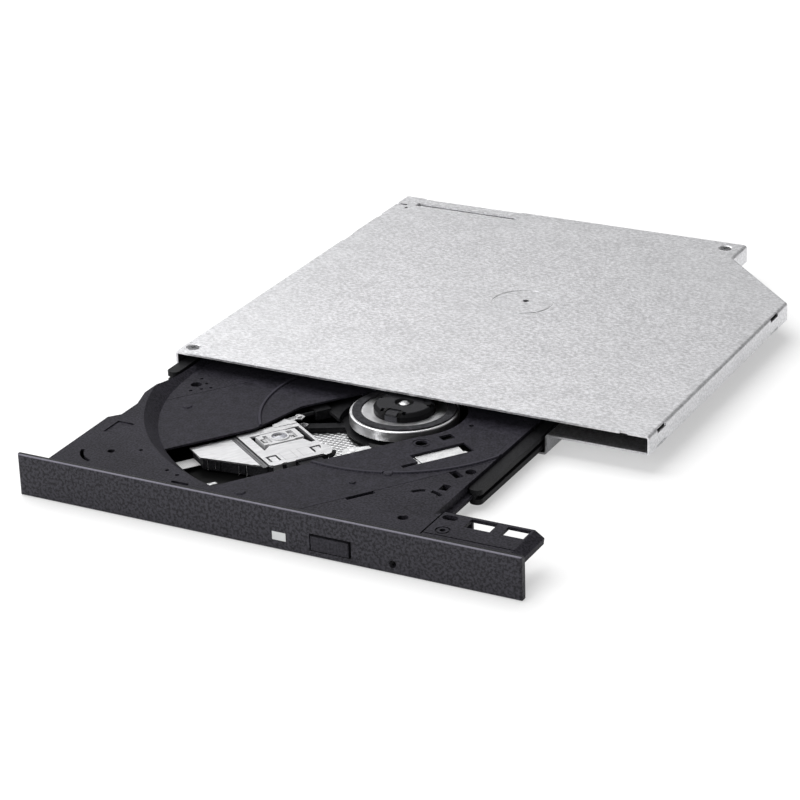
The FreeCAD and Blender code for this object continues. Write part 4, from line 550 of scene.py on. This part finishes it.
def dished_screw(bm, centre, radius, low, high):
    """A screw head with a rounded edge and a dished recess."""
    made = bmesh.ops.create_cone(bm, cap_ends=True, segments=24, radius1=radius, radius2=radius * 0.92,
                                 depth=high - low)
    bmesh.ops.translate(bm, vec=(*centre, (low + high) / 2), verts=made["verts"])
    cap = max({f for v in made["verts"] for f in v.link_faces}, key=lambda f: f.calc_center_median().z)
    bmesh.ops.inset_region(bm, faces=[cap], thickness=radius * 0.45)
    bmesh.ops.inset_region(bm, faces=[cap], thickness=radius * 0.12, depth=-(high - low) * 0.6)


def make_object(context, name, bm):
    """An object of the scene from a finished mesh."""
    mesh = bpy.data.meshes.new(name)
    bm.to_mesh(mesh)
    bm.free()
    made = bpy.data.objects.new(name, mesh)
    context.scene.collection.objects.link(made)
    return made


def add_piece(context, name, bm, place, finish, body, edge=0.0):
    """Softens the edges of a mesh, lays it in the frame and lets it ride on a body."""
    if edge:
        bm.normal_update()
        sharp = [e for e in bm.edges if len(e.link_faces) == 2 and e.calc_face_angle(0.0) > 0.9]
        bmesh.ops.bevel(bm, geom=sharp, offset=edge, affect="EDGES", segments=2, profile=0.5, material=-1)
    bmesh.ops.recalc_face_normals(bm, faces=bm.faces)
    if any(len(e.link_faces) != 2 for e in bm.edges):
        raise RuntimeError(name + " isn't closed")
    bmesh.ops.transform(bm, matrix=place, verts=bm.verts)
    piece = make_object(context, name, bm)
    piece.data.materials.append(finish)
    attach(piece, body)


class CaseLook(bpy.types.PropertyGroup):
    """Colours of the steel case and what is fixed in it."""

    lid: FloatVectorProperty(
        name="Lid", description="Zinc-coated lid", subtype="COLOR", size=3, min=0, max=1,
        default=(0.68, 0.68, 0.695))
    pan: FloatVectorProperty(
        name="Pan", description="Zinc-coated bottom pan", subtype="COLOR", size=3, min=0, max=1,
        default=(0.50, 0.50, 0.515))
    roughness: FloatProperty(
        name="Sheet roughness", description="Roughness of the sheet", min=0, max=1, default=0.42)
    board: FloatVectorProperty(
        name="Board", description="Lacquer of the circuit boards", subtype="COLOR", size=3, min=0,
        max=1, default=(0.010, 0.080, 0.035))


class TrayLook(bpy.types.PropertyGroup):
    """Colours of the tray, the plate over the mechanism, and the front."""

    tray: FloatVectorProperty(
        name="Tray", description="Moulded disc tray", subtype="COLOR", size=3, min=0, max=1,
        default=(0.0190, 0.0180, 0.0230))
    plate: FloatVectorProperty(
        name="Plate", description="Painted plate over the mechanism", subtype="COLOR", size=3, min=0,
        max=1, default=(0.0190, 0.0180, 0.0235))
    bezel: FloatVectorProperty(
        name="Bezel", description="Front bezel and button", subtype="COLOR", size=3, min=0, max=1,
        default=(0.0275, 0.0265, 0.0320))
    window: FloatVectorProperty(
        name="Lamp window", description="Milky lamp window", subtype="COLOR", size=3, min=0, max=1,
        default=(0.55, 0.56, 0.56))


class MechanismLook(bpy.types.PropertyGroup):
    """Colours of the turntable, the pickup and the latch."""

    bright: FloatVectorProperty(
        name="Bright metal", description="Turned and plated metal", subtype="COLOR", size=3, min=0,
        max=1, default=(0.80, 0.80, 0.81))
    cover: FloatVectorProperty(
        name="Pickup cover", description="Pale sheet over the pickup", subtype="COLOR", size=3, min=0,
        max=1, default=(0.70, 0.70, 0.71))
    hub: FloatVectorProperty(
        name="Hub", description="Dark hub and its claws", subtype="COLOR", size=3, min=0, max=1,
        default=(0.016, 0.016, 0.018))
    copper: FloatVectorProperty(
        name="Copper", description="Enamelled wire", subtype="COLOR", size=3, min=0, max=1,
        default=(0.55, 0.22, 0.10))


class ThreadSize(bpy.types.PropertyGroup):
    """Sizes of the lead screw's thread."""

    pitch: FloatProperty(
        name="Pitch", description="Way that one turn moves the pickup", subtype="DISTANCE", min=0.0005,
        max=0.006, default=0.003)
    height: FloatProperty(
        name="Height", description="Height of the thread over the shaft", subtype="DISTANCE",
        min=0.00001, max=0.0003, default=0.00004)
    flank: FloatProperty(
        name="Flank", description="Half of the thread's width", subtype="DISTANCE", min=0.0001,
        max=0.001, default=0.00035)
    sunk: FloatProperty(
        name="Sunk", description="Depth of the thread's foot in the shaft", subtype="DISTANCE",
        min=0.00001, max=0.0001, default=0.00005)
    steps: IntProperty(name="Steps", description="Steps in each turn", min=8, max=64, default=24)


class FittingSizes(bpy.types.PropertyGroup):
    """Sizes of the small sheet parts on the pickup and the motor."""

    sheet: FloatProperty(
        name="Sheet", description="Thickness of the small sheet parts in millimetres", min=0.05,
        max=0.3, default=0.13)
    clip_width: FloatProperty(
        name="Clip width", description="Width of a clip frame in millimetres", min=1.0, max=3.0,
        default=1.95)
    clip_bar: FloatProperty(
        name="Clip bar", description="Width of a clip frame's bars in millimetres", min=0.1, max=0.6,
        default=0.36)
    screw: FloatProperty(
        name="Screw head", description="Radius of the clip's screw head in millimetres", min=0.5,
        max=1.5, default=0.85)
    flat_screw: FloatProperty(
        name="Flat screw head", description="Radius of the bracket's screw head in millimetres",
        min=0.5, max=1.5, default=1.15)


class StudioSettings(bpy.types.PropertyGroup):
    """Camera and lights."""

    azimuth: FloatProperty(
        name="Azimuth", description="Camera's turn about the drive", subtype="ANGLE",
        default=math.radians(28.31))
    elevation: FloatProperty(
        name="Elevation", description="Camera's height over the horizon", subtype="ANGLE",
        default=math.radians(23.62))
    roll: FloatProperty(
        name="Roll", description="Camera's roll", subtype="ANGLE", default=math.radians(-1.84))
    distance: FloatProperty(
        name="Distance", description="Camera to its target", subtype="DISTANCE", default=0.66574)
    target: FloatVectorProperty(
        name="Target", description="Point in the middle of the picture", size=3, subtype="TRANSLATION",
        default=(-0.00334, -0.05834, 0.005))
    lens: FloatProperty(
        name="Lens", description="Focal length on a 36 mm sensor", min=20, max=300, default=123.49)
    key: FloatProperty(
        name="Key light", description="Power of the large light over the lid", min=0, max=100,
        default=8.5)
    front: FloatProperty(
        name="Front light", description="Power of the light before the bezel", min=0, max=100,
        default=2.6)
    world: FloatProperty(
        name="Sky", description="Strength of the even light", min=0, max=2, default=0.62)
    dim_side: FloatProperty(
        name="Dim side", description="Share of the sky's light from the right", min=0, max=1,
        default=0.30)


class DISCDRIVE_OT_case(bpy.types.Operator):
    """Finish the steel case, its screws and rails"""

    bl_idname = "disc_drive.case"
    bl_label = "Finish the case"

    def execute(self, context):
        look = context.scene.disc_drive_case
        dress(zinc_sheet("lid_sheet", look.lid, look.roughness), "top_cover")
        dress(zinc_sheet("pan_sheet", look.pan, look.roughness, turn=math.pi / 2), "bottom_case")
        dress(zinc_sheet("shield_sheet", tint(look.lid, 1.3), 0.30, contrast=0.5), "connector_shield")
        dress(machined("lid_screw", tint(look.pan, 0.35), 0.40, centre=(0, 0), pitch=0.3),
              "cover_screws")
        screw = machined("plated_screw", tint(look.pan, 0.85), 0.34, centre=(0, 0), pitch=0.3)
        dress(screw, "guide_screws", "board_screws", "pressed_inserts", "tray_cover_screws",
              "damper_screws", "motor_screws")
        slippery = moulded("slide_plastic", BLACK, 0.42, grain=3.0, depth=0.006)
        dress(slippery, "left_guide", "right_guide", "left_rail", "right_rail")
        return {"FINISHED"}


class DISCDRIVE_OT_board(bpy.types.Operator):
    """Finish the main board, the rear connector and the tray ribbon"""

    bl_idname = "disc_drive.board"
    bl_label = "Finish the board"

    def execute(self, context):
        look = context.scene.disc_drive_case
        board = lacquered_board("board_lacquer", look.board, (0.70, 0.62, 0.42))
        dress(board, "main_board", "front_board")
        dress(moulded("chip_epoxy", BLACK, 0.55, grain=6.0, depth=0.008), "board_chips")
        dress(moulded("plug_nylon", (0.62, 0.55, 0.42), 0.45, grain=3.0, depth=0.006), "board_plug")
        dress(moulded("connector_nylon", (0.015, 0.015, 0.016), 0.42, grain=4.0, depth=0.008),
              "sata_connector", "eject_switch")
        dress(machined("gold_plate", (0.85, 0.62, 0.28), 0.25, centre=(0, 0), turned=False),
              "connector_contacts")
        dress(flat_ribbon("ribbon_film", (0.70, 0.70, 0.70), 0.5), "ribbon_fixed", "ribbon_loop")
        return {"FINISHED"}


class DISCDRIVE_OT_tray(bpy.types.Operator):
    """Finish the disc tray, the plate over the mechanism and the sheet below"""

    bl_idname = "disc_drive.tray"
    bl_label = "Finish the tray"

    def execute(self, context):
        look = context.scene.disc_drive_tray
        bright = context.scene.disc_drive_mechanism.bright
        # ringed=True adds the painted highlight along the ring round the turntable.
        dress(moulded("tray_plastic", look.tray, 0.52, grain=1.9, contrast=0.6, ringed=True), "tray")
        dress(painted("plate_paint", look.plate, 0.50, grain=2.2, ringed=True), "traverse_cover",
              "cover_studs")
        dress(embossed("embossed_sheet", bright, 0.32, 1.7, 0.08), "tray_cover")
        dress(painted("frame_paint", BLACK, 0.45), "traverse_base")
        dress(rubber("damper_rubber", (0.012, 0.012, 0.012), 0.62), "traverse_dampers")
        return {"FINISHED"}


class DISCDRIVE_OT_turntable(bpy.types.Operator):
    """Finish the spindle motor and its turntable"""

    bl_idname = "disc_drive.turntable"
    bl_label = "Finish the turntable"

    def execute(self, context):
        look = context.scene.disc_drive_mechanism
        dress(machined("turned_cup", tint(look.bright, 0.85), 0.36, pitch=0.5, depth=0.002),
              "rotor_cup")
        dress(machined("shaft_steel", tint(look.bright, 0.5), 0.30, pitch=0.1, depth=0.001),
              "spindle_shaft")
        dress(rubber("pad_rubber", (0.026, 0.026, 0.029), 0.60), "turntable_pad")
        dress(clawed_hub("hub_plastic", look.hub, 0.38), "clamp_hub")
        dress(moulded("claw_plastic", tint(look.hub, 1.3), 0.33, grain=5.0, depth=0.004), "hub_claws")
        dress(painted("magnet_grey", (0.05, 0.05, 0.055), 0.45), "rotor_magnet")
        dress(wound_coil("stator_wire", (0.03, 0.03, 0.032), 0.22, 2), "stator")
        dress(painted("motor_plate_black", (0.010, 0.010, 0.011), 0.40), "motor_plate")
        return {"FINISHED"}


class DISCDRIVE_OT_pickup(bpy.types.Operator):
    """Finish the pickup, its shafts and its motor"""

    bl_idname = "disc_drive.pickup"
    bl_label = "Finish the pickup"

    def execute(self, context):
        look = context.scene.disc_drive_mechanism
        dress(painted("cast_body", (0.018, 0.018, 0.020), 0.42), "pickup_base")
        dress(pressed_cover("pickup_pressing", look.cover, 0.36), "pickup_cover", "pickup_tail")
        dress(moulded("nut_nylon", (0.72, 0.72, 0.68), 0.40, grain=3.0, depth=0.006),
              "pickup_nut", "switch_plunger")
        dress(slotted_holder("holder_plastic", TIN, 0.35), "lens_holder")
        # The lens's pale colour is a painted reflection of the bright surroundings.
        dress(coated_lens("lens_coating", (0.42, 0.43, 0.46)), "objective_lens")
        dress(zinc_sheet("yoke_sheet", tint(look.bright, 0.8), 0.32, turn=TRAVERSE_TURN),
              "actuator_yoke", "solenoid_yoke")
        dress(flat_ribbon("pale_film", (0.60, 0.60, 0.60), 0.45, TRAVERSE_TURN), "pickup_ribbon")
        dress(machined("ground_shaft", look.bright, 0.12, turned=False, depth=0.001),
              "solenoid_plunger", "lever_spring")
        # Painted shade: the shafts and the lead screw are near black because they lie in the shade under
        # the plate.
        dress(machined("shade_dark_shaft", (0.03, 0.03, 0.032), 0.35, turned=False, depth=0.001),
              "main_shaft", "sub_shaft", "lead_screw")
        dress(machined("motor_can", tint(look.bright, 1.1), 0.45, turned=False), "sled_motor")
        return {"FINISHED"}


class DISCDRIVE_OT_thread(bpy.types.Operator):
    """Wind the thread on the lead screw"""

    bl_idname = "disc_drive.thread"
    bl_label = "Wind the lead screw's thread"

    def execute(self, context):
        size = context.scene.disc_drive_thread
        low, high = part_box("lead_screw")
        along = Vector((math.cos(TRAVERSE_TURN), math.sin(TRAVERSE_TURN), 0.0))
        middle = (low + high) / 2
        radius = (high.z - low.z) / 2
        length = (high - low).xy.length - 2 * radius - 4 * size.pitch
        turns = int(length / size.pitch)
        start = Vector((-turns * size.pitch / 2, 0.0, 0.0))
        root = radius - size.sunk
        bm = bmesh.new()
        corners = [(-size.flank, root), (0.0, radius + size.height), (size.flank, root)]
        face = bm.faces.new([bm.verts.new(start + Vector((x, 0.0, r))) for x, r in corners])
        bmesh.ops.spin(bm, geom=[face], cent=start, axis=(1, 0, 0), angle=2 * math.pi * turns,
                       dvec=(size.pitch / size.steps, 0, 0), steps=turns * size.steps,
                       use_duplicate=False)
        bmesh.ops.remove_doubles(bm, verts=bm.verts, dist=1e-7)
        turn = Vector((1, 0, 0)).rotation_difference(along).to_matrix().to_4x4()
        # The thread takes the lead screw's near-black painted shade.
        add_piece(context, "lead_thread", bm, Matrix.Translation(middle) @ turn,
                  bpy.data.materials["shade_dark_shaft"], "lead_screw")
        return {"FINISHED"}


class DISCDRIVE_OT_pickup_fittings(bpy.types.Operator):
    """Fit the clips, the spring and the small tabs of the pickup"""

    bl_idname = "disc_drive.pickup_fittings"
    bl_label = "Fit the pickup's small parts"

    def execute(self, context):
        sizes = context.scene.disc_drive_fittings
        bright = context.scene.disc_drive_mechanism.bright
        steel = zinc_sheet("clip_steel", tint(bright, 0.85), 0.34, turn=TRAVERSE_TURN, contrast=0.6)
        cover_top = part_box("pickup_cover")[1].z / MM
        tail_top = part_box("pickup_tail")[1].z / MM
        tin = painted("clip_tin", TIN, 0.40)
        self.clips(context, sizes, tin, tail_top)
        pale = bpy.data.materials["pickup_pressing"]
        bm = bmesh.new()
        for outline in (COVER_TAB, COVER_LUG):
            cut_sheet(bm, outline, cover_top, cover_top + sizes.sheet)
        add_piece(context, "cover_tabs", bm, over_traverse(), pale, "pickup", 0.03)
        bm = bmesh.new()
        leaf_top = PICKUP_DECK + 2 * sizes.sheet
        cut_sheet(bm, LEAF, PICKUP_DECK - 0.02, leaf_top)
        dished_screw(bm, LEAF_SCREW, sizes.screw, leaf_top - 0.05, leaf_top + 0.35)
        add_piece(context, "spring_leaf", bm, over_traverse(), steel, "pickup")
        self.corner_stop(context)
        self.fold(context, tail_top)
        return {"FINISHED"}

    def clips(self, context, sizes, tin, tail_top):
        """Two small frames on the near side of the pickup, just under the tail's sheet."""
        slope = math.atan2(CLIP_RUN[1], CLIP_RUN[0])
        wide = sizes.clip_width / 2
        high = CLIP_HEIGHT / 2
        for count, middle in enumerate(CLIP_MIDDLES):
            bm = bmesh.new()
            corners = [(-wide, -high), (wide, -high), (wide, high), (-wide, high)]
            face = bm.faces.new([bm.verts.new((x, 0.0, z)) for x, z in corners])
            bmesh.ops.inset_region(bm, faces=[face], thickness=sizes.clip_bar, use_boundary=True)
            bmesh.ops.delete(bm, geom=[face], context="FACES_ONLY")
            push_out(bm, bm.faces[:], (0, CLIP_DEPTH, 0))
            near = CLIP_EDGE[1] + math.tan(slope) * (middle - CLIP_EDGE[0])
            place = Matrix.Scale(MM, 4) @ Matrix.Translation((middle, near, tail_top - CLIP_DROP - high))
            turned = place @ Matrix.Rotation(slope, 4, "Z")
            add_piece(context, "pickup_clip_%d" % (count + 1), bm, turned, tin, "pickup",
                      0.04)

    def corner_stop(self, context):
        """A rounded dark stop at the pickup's near corner."""
        bm = bmesh.new()
        bmesh.ops.create_uvsphere(bm, u_segments=20, v_segments=12, radius=1.0)
        bmesh.ops.scale(bm, vec=STOP_HALF, verts=bm.verts)
        lie = Matrix.Translation(STOP_PLACE) @ Matrix.Rotation(STOP_TURN, 4, "Z")
        add_piece(context, "corner_stop", bm, over_traverse() @ lie, bpy.data.materials["cast_body"],
                  "pickup")

    def fold(self, context, tail_top):
        """The folded strip where the tail's sheet meets the cover."""
        bm = bmesh.new()
        face = bm.faces.new([bm.verts.new((along, FOLD_START, tail_top - 0.01 + z)) for along, z in FOLD])
        push_out(bm, [face], (0, FOLD_LENGTH, 0))
        shade = machined("fold_grey", (0.17, 0.17, 0.175), 0.35, turned=False, depth=0.002)
        add_piece(context, "sheet_fold", bm, over_traverse(), shade, "pickup")


class DISCDRIVE_OT_motor_fittings(bpy.types.Operator):
    """Fit the cover of the sled motor and the bracket beside the turntable"""

    bl_idname = "disc_drive.motor_fittings"
    bl_label = "Fit the motor's sheet parts"

    def execute(self, context):
        sizes = context.scene.disc_drive_fittings
        bright = context.scene.disc_drive_mechanism.bright
        pale = zinc_sheet("motor_pressing", tint(bright, 1.15), 0.36, streak=(4.0, 1.0, 1.0),
                          turn=TRAVERSE_TURN, contrast=0.3)
        motor_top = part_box("sled_motor")[1].z / MM
        ear_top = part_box("motor_plate")[1].z / MM
        bm = bmesh.new()
        top = motor_top + 0.02
        for outline in (MOTOR_COVER, MOTOR_LIP):
            cut_sheet(bm, outline, top, top + sizes.sheet)
        add_piece(context, "motor_cover", bm, over_traverse(), pale, "tray", 0.03)
        bm = bmesh.new()
        bracket_top = ear_top + sizes.sheet
        cut_sheet(bm, BRACKET, ear_top - 0.01, bracket_top)
        dished_screw(bm, BRACKET_SCREW, sizes.flat_screw, bracket_top - 0.02, bracket_top + 0.10)
        add_piece(context, "motor_bracket", bm, over_traverse(), pale, "tray")
        return {"FINISHED"}


class DISCDRIVE_OT_latch(bpy.types.Operator):
    """Finish the latch and the push rod"""

    bl_idname = "disc_drive.latch"
    bl_label = "Finish the latch"

    def execute(self, context):
        look = context.scene.disc_drive_mechanism
        dress(moulded("latch_acetal", (0.74, 0.74, 0.71), 0.38, grain=3.0, depth=0.005),
              "lock_lever", "push_rod")
        dress(wound_coil("solenoid_wire", look.copper, 0.15, 1), "solenoid_coil")
        return {"FINISHED"}


class DISCDRIVE_OT_front(bpy.types.Operator):
    """Finish the bezel, the button and the lamp"""

    bl_idname = "disc_drive.front"
    bl_label = "Finish the front"

    def execute(self, context):
        look = context.scene.disc_drive_tray
        dress(bezel_plastic("bezel_plastic", look.bezel, 0.42), "bezel")
        dress(moulded("button_plastic", tint(look.bezel, 0.9), 0.42, grain=1.8, depth=0.030),
              "eject_button")
        dress(clear_cap("window_milk", look.window, 0.30), "led_window")
        dress(clear_cap("lamp_epoxy", (0.75, 0.76, 0.70), 0.15), "led_lamp")
        return {"FINISHED"}


class DISCDRIVE_OT_stage(bpy.types.Operator):
    """Lay the pale floor, hang the lights and set the camera"""

    bl_idname = "disc_drive.stage"
    bl_label = "Set the stage"

    def execute(self, context):
        studio = context.scene.disc_drive_studio
        self.floor(context)
        self.sky(context, studio)
        self.lamp(context, "key_light", KEY_PLACE, KEY_AIM, KEY_SIZE, studio.key)
        self.lamp(context, "front_light", FRONT_PLACE, FRONT_AIM, FRONT_SIZE, studio.front)
        self.camera(context, studio)
        return {"FINISHED"}

    def floor(self, context):
        """A large pale sheet that the drive lies on."""
        bm = bmesh.new()
        bmesh.ops.create_grid(bm, x_segments=1, y_segments=1, size=FLOOR_HALF)
        bmesh.ops.translate(bm, vec=(0, 0, CAD_BOX[0][2] - FLOOR_GAP), verts=bm.verts)
        floor = make_object(context, "studio_floor", bm)
        s = Shader("studio_paper")
        tone = s.mix(s.noise(s.place(), 0.15, 3.0), (0.90, 0.90, 0.90), (0.94, 0.94, 0.94))
        paper = s.node("ShaderNodeBsdfDiffuse", None, {"Color": tone})
        glow = s.node("ShaderNodeEmission", None, {"Color": (1, 1, 1), "Strength": 1.0})
        seen = s.node("ShaderNodeLightPath", None, None, output="Is Camera Ray")
        mirrored = s.node("ShaderNodeLightPath", None, None, output="Is Glossy Ray")
        share = seen * 0.45 + mirrored * 0.18
        surface = s.node("ShaderNodeMixShader", None, {0: share, 1: paper, 2: glow})
        floor.data.materials.append(s.show(surface))

    def sky(self, context, studio):
        """Even pale light from all round, white where the camera sees it."""
        world = bpy.data.worlds.new("studio_sky")
        world.use_nodes = True
        context.scene.world = world
        tree = world.node_tree
        tree.nodes.clear()
        path = tree.nodes.new("ShaderNodeLightPath")
        even = tree.nodes.new("ShaderNodeBackground")
        even.inputs["Strength"].default_value = studio.world
        room = tree.nodes.new("ShaderNodeTexCoord")
        side = tree.nodes.new("ShaderNodeSeparateXYZ")
        fall = tree.nodes.new("ShaderNodeMapRange")
        limits = {"From Min": -0.6, "From Max": 1.0, "To Min": 1.0, "To Max": studio.dim_side}
        for name, value in limits.items():
            fall.inputs[name].default_value = value
        tree.links.new(room.outputs["Generated"], side.inputs[0])
        tree.links.new(side.outputs["X"], fall.inputs["Value"])
        tree.links.new(fall.outputs[0], even.inputs["Color"])
        white = tree.nodes.new("ShaderNodeBackground")
        white.inputs["Color"].default_value = (1.0, 1.0, 1.0, 1.0)
        white.inputs["Strength"].default_value = 1.0
        mix = tree.nodes.new("ShaderNodeMixShader")
        tree.links.new(path.outputs["Is Camera Ray"], mix.inputs[0])
        tree.links.new(even.outputs[0], mix.inputs[1])
        tree.links.new(white.outputs[0], mix.inputs[2])
        out = tree.nodes.new("ShaderNodeOutputWorld")
        tree.links.new(mix.outputs[0], out.inputs[0])
        context.scene.view_settings.view_transform = "Standard"

    def lamp(self, context, name, place, aim, size, power):
        """A square soft light at a place, aimed at a point."""
        data = bpy.data.lights.new(name, "AREA")
        data.size = size
        data.energy = power
        lamp = bpy.data.objects.new(name, data)
        lamp.location = place
        lamp.rotation_euler = (Vector(place) - Vector(aim)).to_track_quat("Z", "Y").to_euler()
        context.scene.collection.objects.link(lamp)

    def camera(self, context, studio):
        """The camera at the photograph's place."""
        level = math.cos(studio.elevation)
        back = Vector((math.sin(studio.azimuth) * level, -math.cos(studio.azimuth) * level,
                       math.sin(studio.elevation)))
        right = Vector((math.cos(studio.azimuth), math.sin(studio.azimuth), 0.0))
        up = back.cross(right)
        turned_right = right * math.cos(studio.roll) + up * math.sin(studio.roll)
        turned_up = up * math.cos(studio.roll) - right * math.sin(studio.roll)
        data = bpy.data.cameras.new("studio_camera")
        data.sensor_width = 36.0
        data.lens = studio.lens
        data.clip_start = 0.01
        camera = bpy.data.objects.new("studio_camera", data)
        place = Vector(studio.target) + back * studio.distance
        turned = Matrix((turned_right, turned_up, back)).transposed().to_4x4()
        camera.matrix_world = Matrix.Translation(place) @ turned
        context.scene.collection.objects.link(camera)
        context.scene.camera = camera


STEPS = (DISCDRIVE_OT_case, DISCDRIVE_OT_board, DISCDRIVE_OT_tray, DISCDRIVE_OT_turntable,
         DISCDRIVE_OT_pickup, DISCDRIVE_OT_thread, DISCDRIVE_OT_pickup_fittings,
         DISCDRIVE_OT_motor_fittings, DISCDRIVE_OT_latch, DISCDRIVE_OT_front, DISCDRIVE_OT_stage)

SETTINGS = {"disc_drive_case": CaseLook, "disc_drive_tray": TrayLook,
            "disc_drive_mechanism": MechanismLook, "disc_drive_thread": ThreadSize,
            "disc_drive_fittings": FittingSizes, "disc_drive_studio": StudioSettings}


class DISCDRIVE_PT_panel(bpy.types.Panel):
    """Shows the drive's settings and a button for each of its steps"""

    bl_idname = "DISCDRIVE_PT_panel"
    bl_label = "Disc Drive"
    bl_space_type = "VIEW_3D"
    bl_region_type = "UI"
    bl_category = "Disc Drive"

    def draw(self, context):
        layout = self.layout
        for name, group in SETTINGS.items():
            box = layout.box()
            for field in group.__annotations__:
                box.prop(getattr(context.scene, name), field)
        for step in STEPS:
            layout.operator(step.bl_idname)


CLASSES = (*SETTINGS.values(), *STEPS, DISCDRIVE_PT_panel)


def register():
    for cls in CLASSES:
        bpy.utils.register_class(cls)
    for name, group in SETTINGS.items():
        setattr(bpy.types.Scene, name, PointerProperty(type=group))


def unregister():
    for name in SETTINGS:
        delattr(bpy.types.Scene, name)
    for cls in reversed(CLASSES):
        bpy.utils.unregister_class(cls)


def main():
    register()
    bpy.ops.disc_drive.case()
    bpy.ops.disc_drive.board()
    bpy.ops.disc_drive.tray()
    bpy.ops.disc_drive.turntable()
    bpy.ops.disc_drive.pickup()
    bpy.ops.disc_drive.thread()
    bpy.ops.disc_drive.pickup_fittings()
    bpy.ops.disc_drive.motor_fittings()
    bpy.ops.disc_drive.latch()
    bpy.ops.disc_drive.front()
    bpy.ops.disc_drive.stage()


if __name__ == "__main__":
    main()
